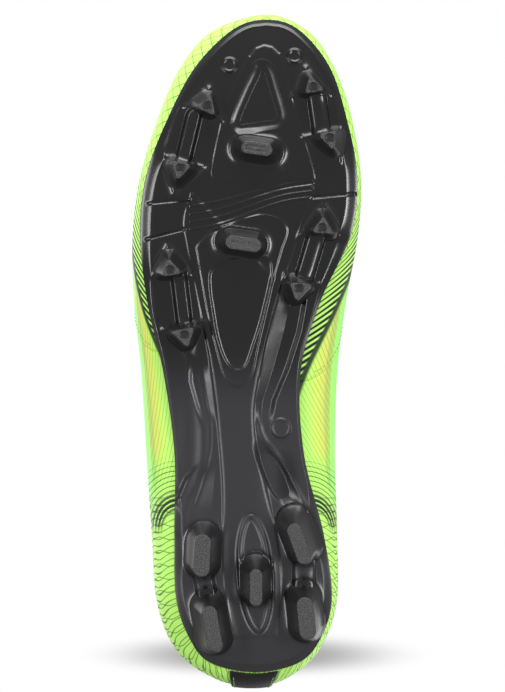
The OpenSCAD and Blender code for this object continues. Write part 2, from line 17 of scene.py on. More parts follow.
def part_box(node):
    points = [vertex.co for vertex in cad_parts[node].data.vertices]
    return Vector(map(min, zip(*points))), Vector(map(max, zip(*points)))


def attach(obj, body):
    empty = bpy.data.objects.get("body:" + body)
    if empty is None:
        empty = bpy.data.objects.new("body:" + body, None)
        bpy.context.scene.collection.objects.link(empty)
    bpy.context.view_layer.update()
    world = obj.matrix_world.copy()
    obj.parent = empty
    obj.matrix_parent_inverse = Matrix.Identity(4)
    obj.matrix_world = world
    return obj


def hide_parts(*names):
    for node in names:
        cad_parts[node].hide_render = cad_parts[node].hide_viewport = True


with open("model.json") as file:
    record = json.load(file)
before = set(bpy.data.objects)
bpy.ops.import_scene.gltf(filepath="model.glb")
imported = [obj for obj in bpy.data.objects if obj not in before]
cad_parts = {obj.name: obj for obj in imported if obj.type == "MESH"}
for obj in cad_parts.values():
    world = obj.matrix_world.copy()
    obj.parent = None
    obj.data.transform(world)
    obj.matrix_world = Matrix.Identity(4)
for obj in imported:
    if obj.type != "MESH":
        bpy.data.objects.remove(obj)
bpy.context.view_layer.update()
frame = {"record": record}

MM = 0.001

# %% [markdown]
# ## Camera, floor and light
# The sole faces the lens, with the toe up, so the camera lies under the boot and looks
# straight up. A long lens from 1.6 m keeps the sole's outline true. The pale floor is
# seen from above only: its underside lets the camera look through it.

# %% Camera
CAMERA_GAP, AIM_HEIGHT, AIM_Y = 1.6, 0.012, 0.0019  # metres
FRAME_SHARE, AIM_SHARE = 1.0545, 0.4985  # of the plate's length
plate_low, plate_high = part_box("outsole")
plate_length = plate_high.x - plate_low.x
camera_data = bpy.data.cameras.new("camera")
camera_data.sensor_width = 36
camera_data.lens = camera_data.sensor_width * CAMERA_GAP / (plate_length * FRAME_SHARE)
camera = bpy.data.objects.new("camera", camera_data)
bpy.context.scene.collection.objects.link(camera)
camera.matrix_world = Matrix((
    (0, 1, 0, plate_low.x + plate_length * AIM_SHARE),
    (1, 0, 0, AIM_Y),
    (0, 0, -1, AIM_HEIGHT - CAMERA_GAP),
    (0, 0, 0, 1)))
bpy.context.scene.camera = camera
print("lens", round(camera_data.lens, 1), "mm")


# %% Lights
def soft_light(name, place, size, power, aim_height=0.0):
    """A rectangular lamp: its place and size in metres, its power in watts."""
    data = bpy.data.lights.new(name, "AREA")
    data.shape = "RECTANGLE"
    data.size, data.size_y = size
    data.energy = power
    lamp = bpy.data.objects.new(name, data)
    lamp.location = place
    aim = Vector((0, 0, aim_height)) - Vector(place)
    lamp.rotation_euler = aim.to_track_quat("-Z", "Y").to_euler()
    bpy.context.scene.collection.objects.link(lamp)


soft_light("sole_toe_light", (1.12, 0.05, -0.52), (0.8, 0.22), 4)
soft_light("toe_wide_light", (1.35, 0.0, -0.12), (1.1, 0.9), 16)
soft_light("sole_left_light", (0.05, -0.85, -0.85), (1.0, 0.2), 8)
soft_light("sole_right_light", (0.0, 0.8, -0.95), (0.7, 0.2), 8.5)
soft_light("top_key_light", (0.35, -0.75, 1.1), (1.3, 1.3), 13, 0.04)
soft_light("top_fill_light", (-0.7, 0.8, 0.8), (1.2, 1.2), 8, 0.04)

# %% World: the camera sees white, and the boot is lit by a softer grey
LIT_LEVEL, SEEN_LEVEL = 0.40, 1.0
world = bpy.data.worlds.new("studio")
bpy.context.scene.world = world
world.use_nodes = True
sky = world.node_tree
sky.nodes.clear()
sky_out = sky.nodes.new("ShaderNodeOutputWorld")
sky_mix = sky.nodes.new("ShaderNodeMixShader")
sky_seen = sky.nodes.new("ShaderNodeLightPath")
for number, (level, name) in enumerate([(LIT_LEVEL, "lit"), (SEEN_LEVEL, "seen")], 1):
    background = sky.nodes.new("ShaderNodeBackground")
    background.name = name
    background.inputs["Color"].default_value = (level, level, level, 1)
    sky.links.new(background.outputs[0], sky_mix.inputs[number])
sky.links.new(sky_seen.outputs["Is Camera Ray"], sky_mix.inputs[0])
sky.links.new(sky_mix.outputs[0], sky_out.inputs[0])
bpy.context.scene.view_settings.view_transform = "Standard"

# %% Flat sheets of the stage
def stage_sheet(name, paint_name, low, high, z):
    """A rectangle from low to high in plan that casts no shade or light on the boot."""
    mesh = bpy.data.meshes.new(name)
    corners = [(low[0], low[1], z), (high[0], low[1], z), (high[0], high[1], z), (low[0], high[1], z)]
    mesh.from_pydata(corners, [], [(0, 1, 2, 3)])
    sheet = bpy.data.objects.new(name, mesh)
    bpy.context.scene.collection.objects.link(sheet)
    sheet.visible_shadow = sheet.visible_diffuse = sheet.visible_glossy = False
    paint = bpy.data.materials.new(paint_name)
    paint.use_nodes = True
    mesh.materials.append(paint)
    return sheet, paint.node_tree


def add_node(tree, kind, *values):
    """A shader node; each value is an input's number and a constant or a socket."""
    node = tree.nodes.new(kind)
    for number, value in values:
        if isinstance(value, bpy.types.NodeSocket):
            tree.links.new(value, node.inputs[number])
        else:
            node.inputs[number].default_value = value
    return node


# %% Floor
FLOOR_HALF, FLOOR_GREY = 1.5, 0.82
floor, floor_tree = stage_sheet("floor", "pale_floor", (-FLOOR_HALF, -FLOOR_HALF),
                                (FLOOR_HALF, FLOOR_HALF), 0)
floor.location.z = -0.0004
floor_surface = floor_tree.nodes["Principled BSDF"]
floor_surface.inputs["Base Color"].default_value = (FLOOR_GREY, FLOOR_GREY, FLOOR_GREY, 1)
floor_surface.inputs["Roughness"].default_value = 0.9
clear = add_node(floor_tree, "ShaderNodeBsdfTransparent")
below = add_node(floor_tree, "ShaderNodeNewGeometry").outputs["Backfacing"]
one_sided = add_node(floor_tree, "ShaderNodeMixShader", (0, below), (1, floor_surface.outputs[0]),
                     (2, clear.outputs[0]))
floor_tree.links.new(one_sided.outputs[0], floor_tree.nodes["Material Output"].inputs[0])

# %% Soft shade that the boot's heel throws, seen from under the floor only
SHADE_HEIGHT, SHADE_WIDE, SHADE_TALL = 0.1, 0.088, 0.0125  # metres
SHADE_Y, SHADE_GREY, SHADE_STRENGTH = 0.003, 0.16, 0.72
shade, shade_tree = stage_sheet("heel_shade", "heel_shade", (-0.2, -0.2), (0.0, 0.2), SHADE_HEIGHT)
shade_tree.nodes.remove(shade_tree.nodes["Principled BSDF"])
shade_x = plate_low.x + 0.0005
coordinates = add_node(shade_tree, "ShaderNodeTexCoord").outputs["Object"]
mapping = add_node(
    shade_tree, "ShaderNodeMapping", (0, coordinates),
    (1, (-shade_x / SHADE_TALL, -SHADE_Y / SHADE_WIDE, 0)),
    (3, (1 / SHADE_TALL, 1 / SHADE_WIDE, 0)))
distance = add_node(shade_tree, "ShaderNodeVectorMath", (0, mapping.outputs[0]))
distance.operation = "LENGTH"
fade = add_node(
    shade_tree, "ShaderNodeMapRange", (0, distance.outputs["Value"]),
    (1, 0.15), (2, 1.0), (3, SHADE_STRENGTH), (4, 0.0))
fade.interpolation_type = "SMOOTHERSTEP"
below = add_node(shade_tree, "ShaderNodeNewGeometry").outputs["Backfacing"]
amount = add_node(shade_tree, "ShaderNodeMath", (0, fade.outputs[0]), (1, below))
amount.operation = "MULTIPLY"
clear = add_node(shade_tree, "ShaderNodeBsdfTransparent")
grey = add_node(shade_tree, "ShaderNodeEmission", (0, (SHADE_GREY, SHADE_GREY, SHADE_GREY, 1)), (1, 1.0))
shade_mix = add_node(
    shade_tree, "ShaderNodeMixShader",
    (0, amount.outputs[0]), (1, clear.outputs[0]), (2, grey.outputs[0]))
shade_tree.links.new(shade_mix.outputs[0], shade_tree.nodes["Material Output"].inputs[0])

# %% [markdown]
# ## The form that the upper is lasted on
# A shoe is pulled over a last, so every layer of the upper is the same curved surface at
# another depth. Three lines carry it: the plate's outline, the widest line of the side and
# the ridge over the instep. A section at each station joins them with two Bezier curves.
# The numbers are the drawing's own, so the panels lie exactly on the CAD layers.

# %% The drawing's tables, in mm on a plate 284 long and 94 broad
PLATE_HEEL, PLATE_TOE = [0, 3], [284, 8]
PLATE_ROWS = [[4, 16, 21.5], [14, 25, 31], [32, 31.2, 36.3], [60, 32, 32.8], [95, 32, 24.2],
              [130, 36.8, 22.8], [160, 43.6, 31], [190, 46.8, 44.6], [215, 44.2, 47.2], [240, 35, 42.8],
              [263, 22.9, 35.4], [279.5, 6.6, 22]]
GIRTH_HEEL, GIRTH_TOE = [-8, 1.5], [287, 8]
GIRTH_ROWS = [[-5, 14, 16], [7, 31, 30.5], [28, 40, 38.8], [58, 42.4, 39.2], [95, 44.9, 38.2],
              [130, 47, 39.2], [160, 49.9, 42.7], [190, 50.5, 48], [216, 47.1, 49.2], [244, 38.5, 44.6],
              [265, 29, 37], [280, 15.5, 26]]
GIRTH_HEIGHTS = [26, 26, 26, 25, 24, 24, 22, 19, 16, 15, 14.5, 14, 13, 12]
RIDGE_ROWS = [[14, 1.5, 102], [18, 1.5, 102], [28, 1.5, 102], [42, 1, 101], [66, 0.5, 99],
              [98, 0, 90], [131, 0, 76], [160, 1, 65], [188, 3, 57], [211, 5, 50], [232, 7, 43],
              [249, 8, 36], [262, 8.5, 29], [268, 8.5, 25]]
EDGE_SHARES = [0.63, 0.625, 0.6, 0.565, 0.55, 0.63, 0.77, 0.8, 0.8]
SPANS = len(RIDGE_ROWS) - 1
MID_X = (GIRTH_HEEL[0] + GIRTH_TOE[0]) / 2
DRAWN_LENGTH, DRAWN_BREADTH = 284, 94.113  # the plate's box in the drawing
LONG_K = plate_length / MM / DRAWN_LENGTH
WIDE_K = (plate_high.y - plate_low.y) / MM / DRAWN_BREADTH


# %% Smooth curves through the tables
def curve(a, b, c, d, t):
    return (b + (c - a) * t / 2 + (2 * a - 5 * b + 4 * c - d) * t * t / 2
            + (3 * b - a - 3 * c + d) * t * t * t / 2)


def table_at(rows, s, closed=False):
    rows = np.asarray(rows, float).reshape(len(rows), -1)
    n = len(rows)
    s = np.asarray(s, float)
    i = np.floor(s).astype(int) if closed else np.clip(np.floor(s).astype(int), 0, n - 2)
    t = (s - i)[..., None]
    pick = (lambda k: rows[k % n]) if closed else (lambda k: rows[np.clip(k, 0, n - 1)])
    return curve(pick(i - 1), pick(i), pick(i + 1), pick(i + 2), t)


def loop_of(heel, rows, toe):
    return [heel] + [[r[0], -r[1]] for r in rows] + [toe] + [[r[0], r[2]] for r in reversed(rows)]


PLATE_LOOP = loop_of(PLATE_HEEL, PLATE_ROWS, PLATE_TOE)
GIRTH_LOOP = loop_of(GIRTH_HEEL, GIRTH_ROWS, GIRTH_TOE)


def place(p):
    p = np.asarray(p, float)
    return np.stack([(p[..., 0] - MID_X) * LONG_K, p[..., 1] * WIDE_K], -1)


def unit(v):
    return v / np.maximum(np.linalg.norm(v, axis=-1, keepdims=True), 1e-12)


def smooth(t):
    t = np.clip(t, 0, 1)
    return t * t * (3 - 2 * t)


def mix(a, b, t):
    return a + (b - a) * t


# %% Profile of the plate, and its outline at a station
FORE_STUD, HEEL_STUD, PLATE_T, TOE_SPRING, ARCH_RISE = 9.5, 12.5, 3.0, 12.5, 2.0
BALL_X, WAIST_X, ARCH_FROM, ARCH_TO = [(x - MID_X) * LONG_K for x in (195, 130, 40, 170)]
TOE_X, HEEL_X = (DRAWN_LENGTH - MID_X) * LONG_K, -MID_X * LONG_K
HEEL_CURL, HEEL_CURL_LENGTH = 1.5, 25


def sole_z(x):
    return (FORE_STUD + TOE_SPRING * (np.maximum(0, x - BALL_X) / (TOE_X - BALL_X)) ** 2.2
            + (HEEL_STUD - FORE_STUD) * smooth((BALL_X - x) / (BALL_X - WAIST_X))
            + ARCH_RISE * np.sin(math.pi * np.clip((x - ARCH_FROM) / (ARCH_TO - ARCH_FROM), 0, 1)) ** 2
            + HEEL_CURL * np.clip((HEEL_X + HEEL_CURL_LENGTH - x) / HEEL_CURL_LENGTH, 0, 1) ** 2)


def side_point(loop, u, side):
    return place(table_at(loop, np.where(side < 0, u * SPANS, (2 - u) * SPANS), closed=True))


def outline(u, side, inset):
    """The plate's edge at a station, moved inwards by inset."""
    u, side = np.broadcast_arrays(np.asarray(u, float), np.asarray(side, float))
    step = 0.004
    ahead = side_point(PLATE_LOOP, u + step, side) - side_point(PLATE_LOOP, u - step, side)
    t = unit(ahead) * -side[..., None]
    inwards = np.stack([-t[..., 1], t[..., 0]], -1)
    return side_point(PLATE_LOOP, u, side) + np.asarray(inset)[..., None] * inwards


# %% A section of the form, and the form with its normal
FEATHER_INSET, LASTING_MARGIN, LOW_SHARE = 1.0, 12.0, 0.35


def bezier(a, b, c, d, t):
    s = 1 - t
    return s * s * s * a + 3 * s * s * t * b + 3 * s * t * t * c + t * t * t * d


def section(u, side, share):
    f2 = outline(u, side, np.full(u.shape, FEATHER_INSET))
    base = sole_z(f2[..., 0]) + PLATE_T
    f = np.concatenate([f2, base[..., None]], -1)
    lift = table_at(GIRTH_HEIGHTS, u * SPANS)[..., 0]
    w = np.concatenate([side_point(GIRTH_LOOP, u, side), (base + lift)[..., None]], -1)
    r3 = table_at(RIDGE_ROWS, u * SPANS)
    r2 = place(r3)
    r = np.concatenate([r2, (sole_z(r2[..., 0]) + PLATE_T + r3[..., 2])[..., None]], -1)
    flat = np.array([1, 1, 0])
    up = np.array([0, 0, 1])
    rise = (w - f)[..., 2:]
    fore = smooth((u - 0.35) / 0.4)[..., None]
    high = mix(0.3, 0.5, fore) * (r - w)[..., 2:]
    over = mix(0.35, 0.6, fore)
    low_t = np.clip(share / LOW_SHARE, 0, 1)[..., None]
    high_t = np.clip((share - LOW_SHARE) / (1 - LOW_SHARE), 0, 1)[..., None]
    low = bezier(f, f + 0.7 * (w - f) * flat + 0.12 * rise * up, w - 0.55 * rise * up, w, low_t)
    top = bezier(w, w + high * up, r + over * (w - r) * flat, r, high_t)
    under = outline(u, side, FEATHER_INSET - np.minimum(share, 0) * LASTING_MARGIN)
    margin = np.concatenate([under, (sole_z(under[..., 0]) + PLATE_T)[..., None]], -1)
    share = share[..., None]
    return np.where(share < 0, margin, np.where(share < LOW_SHARE, low, top))


def form(u, v):
    u, v = np.broadcast_arrays(np.asarray(u, float), np.asarray(v, float))
    folded = (u > 1) | (u < 0)
    u = np.where(u > 1, 2 - u, np.abs(u))
    v = np.where(folded, -v, v)
    return section(u, np.where(v < 0, -1.0, 1.0), 1 - np.abs(v))


def form_normal(u, v):
    u, v = np.broadcast_arrays(np.asarray(u, float), np.asarray(v, float))
    e = 0.006
    c = np.where(np.abs(v) < 1e-6, np.clip(u, 0.02, 0.98), u)
    return unit(np.cross(form(c + e, v) - form(c - e, v), form(c, v + e) - form(c, v - e)))


def skin(u, v, depth):
    return form(u, v) - np.asarray(depth)[..., None] * form_normal(u, v)


def edge_v(u):
    return 1 - table_at(EDGE_SHARES, np.abs(u) * SPANS)[..., 0]


print("form height", round(float(form(0.2, 0.0)[2]), 1), "mm")

# %% [markdown]
# ## Mesh helpers
# Every piece below is worked out as rows of points. `make_piece` turns them into an object
# that rides its body, `panel_piece` makes a sheet with thickness and soft rolled edges, and
# `tube_piece` makes a cord or a tape. Named numbers can be stored on the vertices, and the
# materials read them, so a print or a gloss follows the mesh and not the camera.

# %% From points to a Blender object
WEARS = {}
NODE_NAMES = [entry["node"] for entry in frame["record"]["subparts"]]
RECORD_SLOTS = [kind["slot"] for kind in frame["record"]["materials"]]


def make_piece(name, points, faces, fields=None, body="boot", slot=None, weld=0):
    """points in mm; weld joins points that are closer than that."""
    mesh = bpy.data.meshes.new(name)
    mesh.from_pydata((np.asarray(points) * MM).tolist(), [], faces)
    for key, values in (fields or {}).items():
        layer = mesh.attributes.new(key, "FLOAT", "POINT")
        layer.data.foreach_set("value", np.asarray(values, np.float32).ravel())
    piece = bpy.data.objects.new(name + "_piece", mesh)
    bpy.context.scene.collection.objects.link(piece)
    if weld:
        work = bmesh.new()
        work.from_mesh(mesh)
        bmesh.ops.remove_doubles(work, verts=work.verts, dist=weld * MM)
        bmesh.ops.recalc_face_normals(work, faces=work.faces)
        work.to_mesh(mesh)
        work.free()
    mesh.polygons.foreach_set("use_smooth", [True] * len(mesh.polygons))
    mesh.update()
    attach(piece, body)
    WEARS[piece.name] = slot
    if name in NODE_NAMES:
        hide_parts(name)
    slot in RECORD_SLOTS
    print(name, len(mesh.vertices), "points")
    return piece


def grid_faces(rows, cols, start=0, wrap=False, flip=False):
    i, j = np.meshgrid(np.arange(rows - 1), np.arange(cols if wrap else cols - 1), indexing="ij")
    k = (j + 1) % cols
    a, b, c, d = i * cols + j, i * cols + k, (i + 1) * cols + k, (i + 1) * cols + j
    quads = np.stack([a, d, c, b] if flip else [a, b, c, d], -1)
    return (quads.reshape(-1, 4) + start).tolist()


def panel_piece(name, at, outer, inner, nu, nv, fields=None, roll=0.4, zipped=False, **kind):
    """A sheet on the form between two depths. A zipped one closes on itself at its far end."""
    a, b = np.meshgrid(np.linspace(0, 1, nu + 1), np.linspace(0, 1, nv + 1), indexing="ij")
    u, v = np.broadcast_arrays(*at(a, b))
    top = skin(u, v, outer(a, b) + 0 * u)
    low = skin(u, v, inner(a, b) + 0 * u)
    thick = np.linalg.norm(top - low, axis=-1, keepdims=True)
    rows, cols = a.shape
    count = rows * cols
    side_b = [(i, cols - 1) for i in range(1, rows)]
    side_a = [(i, 0) for i in range(rows - 2, 0, -1)]
    far = [(rows - 1, j) for j in range(cols - 2, -1, -1)]
    near = [(0, j) for j in range(cols)]
    ring = np.array([(rows - 1, 0)] + side_a + near + side_b if zipped else near + side_b + far + side_a)
    inside = np.clip(ring, 1, [rows if zipped else rows - 2, cols - 2])
    inside[:, 0] = np.minimum(inside[:, 0], rows - 1)
    middle = (top + low) / 2
    rim = middle[ring[:, 0], ring[:, 1]]
    out = unit(rim - middle[inside[:, 0], inside[:, 1]])
    rim = rim + out * roll * thick[ring[:, 0], ring[:, 1]]
    points = np.concatenate([top.reshape(-1, 3), low.reshape(-1, 3), rim])
    faces = grid_faces(rows, cols) + grid_faces(rows, cols, count, flip=True)
    edge = ring[:, 0] * cols + ring[:, 1]
    m = len(ring)
    for k in range(m - 1 if zipped else m):
        n = (k + 1) % m
        a_k, a_n = int(edge[k]), int(edge[n])
        faces.append([a_n, a_k, 2 * count + k, 2 * count + n])
        faces.append([2 * count + n, 2 * count + k, count + a_k, count + a_n])
    stored = {}
    for key, values in (fields(u, v) if fields else {}).items():
        values = np.broadcast_to(values, u.shape)
        stored[key] = np.concatenate([values.ravel(), values.ravel(), values[ring[:, 0], ring[:, 1]]])
    return make_piece(name, points, faces, stored, weld=0.004 if zipped else 0, **kind)


def constant(value):
    return lambda a, b: value


def tube_piece(name, route, radius, sides=12, flat=1.0, **kind):
    """A tube along a route; flat squeezes it to one side."""
    route = np.asarray(route, float)
    along = unit(np.gradient(route, axis=0))
    normal = np.zeros_like(route)
    normal[0] = unit(np.cross(along[0], [0.3, 0.2, 0.9]))
    for i in range(1, len(route)):
        normal[i] = unit(normal[i - 1] - along[i] * np.dot(normal[i - 1], along[i]))
    other = np.cross(along, normal)
    angle = np.linspace(0, 2 * math.pi, sides, endpoint=False)
    radius = np.broadcast_to(np.asarray(radius, float), len(route))[:, None, None]
    turn = angle[None, :, None]
    ring = np.cos(turn) * normal[:, None] + flat * np.sin(turn) * other[:, None]
    points = (route[:, None] + radius * ring).reshape(-1, 3)
    faces = grid_faces(len(route), sides, wrap=True)
    last = (len(route) - 1) * sides
    faces += [list(range(sides - 1, -1, -1)), [last + k for k in range(sides)]]
    length = np.concatenate([[0], np.cumsum(np.linalg.norm(np.diff(route, axis=0), axis=1))])
    stored = {"length": np.repeat(length, sides), "turn": np.tile(angle / (2 * math.pi), len(route))}
    return make_piece(name, points, faces, stored, **kind)


def resample(points, count):
    return table_at(points, np.linspace(0, len(points) - 1, count))


# %% [markdown]
# ## Outsole plate
# A real plate like this is injection moulded in one shot of hard polyamide, with the flex
# grooves, ridges and stud seats cut in the mould. Here it is one fine grid that follows
# the plate's outline, raised and sunk by a height rule: each feature of the mould is a
# line, a panel or a groove in plan with its own soft flank. The same rule stores a gloss
# number, since this mould is polished on the panels and blasted on the waist.

# %% Plan measuring tools: distance to a line, distance into a shape
def span_distance(p, a, b):
    d = b - a
    t = np.clip(((p - a) @ d) / max(d @ d, 1e-9), 0, 1)
    return np.linalg.norm(p - a - t[..., None] * d, axis=-1)


def near_line(p, line):
    line = np.asarray(line, float)
    best = np.full(p.shape[:-1], 1e9)
    for a, b in zip(line[:-1], line[1:]):
        best = np.minimum(best, span_distance(p, a, b))
    return best


def inside_shape(p, shape):
    """Distance to the shape's edge, positive inside it."""
    shape = np.asarray(shape, float)
    within = np.zeros(p.shape[:-1], bool)
    for a, b in zip(shape, np.roll(shape, -1, axis=0)):
        if a[1] == b[1]:
            continue
        crosses = (a[1] > p[..., 1]) != (b[1] > p[..., 1])
        within ^= crosses & (p[..., 0] < (b[0] - a[0]) * (p[..., 1] - a[1]) / (b[1] - a[1]) + a[0])
    return np.where(within, 1, -1) * near_line(p, np.vstack([shape, shape[:1]]))


def soften(line, steps=8, closed=False):
    line = np.asarray(line, float)
    n = len(line)
    stops = n * steps if closed else (n - 1) * steps + 1
    return table_at(line, np.arange(stops) / steps, closed)


def ramp(distance, width):
    return smooth(distance / width + 0.5)


def oblong(centre, half, turn, points=48):
    """A closed loop with straight sides and round ends, turned by degrees."""
    angle = np.linspace(0, 2 * math.pi, points, endpoint=False)
    x = np.sign(np.cos(angle)) * (half[0] - half[1]) + half[1] * np.cos(angle)
    y = half[1] * np.sin(angle)
    c, s = math.cos(math.radians(turn)), math.sin(math.radians(turn))
    return np.stack([centre[0] + x * c - y * s, centre[1] + x * s + y * c], -1)


# %% Studs of the drawing: base corners, tip corners and recess; then the long ones
FORE_STUDS = [
    [[[253, -17], [245, -27], [239, -12]], [[249, -15.5], [244.5, -23.5], [240, -13.5]], [245, -17.6]],
    [[[224, -36.5], [219, -19.5], [208, -32]], [[221.5, -33.5], [219.5, -23.5], [212, -30.5]], [218.2, -29]],
    [[[185, -34.5], [172, -41.5], [172, -25]], [[180, -34.5], [171, -37.5], [172.5, -27.5]], [174.2, -33.4]],
    [[[149, -36.5], [152.5, -20], [139, -26]], [[148, -33.5], [150, -22.5], [140, -25.8]], [146.3, -27.3]],
    [[[262, 25], [250, 19.5], [250.5, 35]], [[259, 26.5], [250, 24], [251.5, 33.5]], [253.2, 28.2]],
    [[[232, 24], [235.5, 40.5], [221, 39.5]], [[232.5, 29.5], [234.5, 38.5], [224.5, 37.3]], [231, 35.2]],
    [[[202.5, 32], [189.5, 22.5], [189, 40]], [[198, 32.5], [190, 26.5], [189.5, 37.3]], [192.3, 32]],
    [[[173, 16], [169, 30], [159, 18.5]], [[169, 17.5], [168.5, 28.7], [160, 20.5]], [166.2, 22]]]
LONG_STUDS = [
    [[226, 3.8], [11.6, 6.6], [226.5, 3.8], [7, 3], 98],
    [[186, -3], [11.6, 6.6], [185.5, -2], [8, 3.2], 98],
    [[53.5, -19.5], [12, 7.6], [51.5, -19.7], [9.4, 3.8], 3],
    [[22.8, -16], [14, 7.6], [20, -15.4], [10.2, 3.5], -10],
    [[60, 22], [13, 7.2], [56.5, 22], [9.4, 3.4], -20],
    [[27.5, 24.5], [13.2, 7.4], [24.5, 25], [9.4, 3.8], -6],
    [[41, 3.2], [11.4, 7], [37.7, 3.4], [8.2, 3], 0]]

# %% Lines of the mould, each a row of plan points
A_LEFT = soften([(267, 0.4), (246.4, -9), (221.2, -15), (213.9, -14.1), (213, -3), (218.2, 14.6)])
A_RIGHT = soften([(268.3, 13.7), (253.7, 17.6), (243, 20.1), (226.7, 25.3), (213, 28.7), (205.7, 27.4),
                  (192, 22.3), (176.6, 17.1), (163.7, 12.4), (146, 8), (128.6, 4.7)])
SPINE_LEFT = soften([(207.9, -24.4), (195.9, -27.4), (186, -26.1), (168, -22.5), (144.9, -18), (126.9, -15),
                     (102.9, -12.4), (78.9, -10.7), (51, -10.7), (34, -9.5), (15, -6)])
SPINE_RIGHT = soften([(168, 14), (144.9, 7.7), (123.9, 3.4), (111.9, 2.1), (96.9, 3.4), (78.9, 7.7),
                      (60.9, 11.6),
                      (40, 14), (16, 12)])
RIDGE_RIGHT = soften([(160, 16), (144.9, 12.4), (123.9, 6.4), (108.9, 4.7), (99.9, 7.7), (90.9, 15),
                      (80.5, 20.5), (70.7, 25.7)])
FLANK_LEFT = soften([(150, -27), (129.9, -23.6), (106.3, -19.7), (87.9, -20.6), (72.9, -26.6), (60.9, -28.7)])
FLANK_INNER = soften([(130, -20), (116.1, -18), (108.9, -16.3), (96.9, -16.3), (81.9, -19.7), (70, -24)])
TRIANGLE_ROUND = soften([(262.5, 5), (261, 8.2), (252, 11), (242, 13.8), (238.5, 12.5), (237.6, 8),
                         (236.4, 0), (236.2, -3.4),
                         (239, -5), (250, -0.6), (259, 3.6)], 6, True)
SHIELD = soften([(180.9, -21.9), (185.2, -21.9), (190.5, -16), (193.3, -11.1), (197, -2), (198.4, 7.3),
                 (196.3, 14.1),
                 (191.2, 17.1), (183, 14.5), (172, 11.5), (157, 8), (142, 4.5), (129, 1.5), (124,
                                                                                             -4), (128, -10),
                 (141, -14), (154, -17.2), (167.6, -19.7)], 6, True)
SHIELD_WELL = soften([(176.6, 9.9), (155.6, 6), (141.4, 1.7), (133.3, -1.3), (131.6, -4.7), (134.1, -8.6),
                      (141.9, -12),
                      (154.3, -14.6), (172.7, -16.3), (178.5, -9), (179.5, 2)], 6, True)
GROOVES = [soften([(heel_end, -24.9), (heel_end + 2.6, -11), (toe_end - 2.4, 13), (toe_end, 27.4)])
           for heel_end, toe_end in ((201.9, 213), (198.4, 210.9), (195.1, 208.3), (192, 205.7))]
FLANK_STEPS = [[(203.2, -43), (204.9, -25.3)], [(187.7, -44), (192, -27.4)], [(205.7, 27.4), (207.4, 46)]]
RIBS = [((241, -23.5), (220, -28.5), 5), ((172, -30), (151, -27.5), 5), ((251, 29.5), (233, 32), 6),
        ((189, 29.5), (169, 23.5), 6), ((45, -20), (34, -17.8), 7), ((51, 24.3), (37, 24.3), 8)]
PADS = [((263.5, -8.1), 3.3), ((267.5, 20.2), 3.2), ((106, 14.2), 4.3)]
# The leaf is a long oval that leans a little to the inner side at the heel
LEAF_CENTRE, LEAF_HALF, LEAF_LEAN = (43.0, 2.9), (26.0, 7.8), -0.067
LEAF = [(LEAF_CENTRE[0] + LEAF_HALF[0] * np.cos(angle),
         LEAF_CENTRE[1] + LEAF_HALF[1] * np.sin(angle) + LEAF_LEAN * LEAF_HALF[0] * np.cos(angle))
        for angle in np.linspace(0, 2 * np.pi, 72, endpoint=False)]
FACETS = [
    ([(106, 3), (118, 3.4), (132, 6), (148, 9.5), (170, 15)], [2, 3, 5, 6, 5], 2.1, 1),
    ([(70, 26), (78, 22), (86, 18), (93, 13.6), (102, 8)], [4, 5, 5, 4, 2], 2.1, -1),
    ([(106, -12.5), (116, -13.6), (126, -15.4), (138, -17.5)], [2.5, 3.5, 4, 3], 1.5, -1),
    ([(66, -15), (74, -15.5), (84, -14.5), (92, -13)], [6, 8, 6, 3], 1.5, -1)]
A_TOP = [(271.5, 10.5), (272.3, 7), (271, 3.5)]
A_PANEL = np.vstack([A_LEFT[:34], A_RIGHT[:33][::-1], A_TOP])
SPINE_PANEL = np.vstack([SPINE_LEFT, SPINE_RIGHT[::-1]])
print("mould lines", sum(len(x) for x in (A_LEFT, A_RIGHT, SPINE_LEFT, SPINE_RIGHT, RIDGE_RIGHT, SHIELD)))


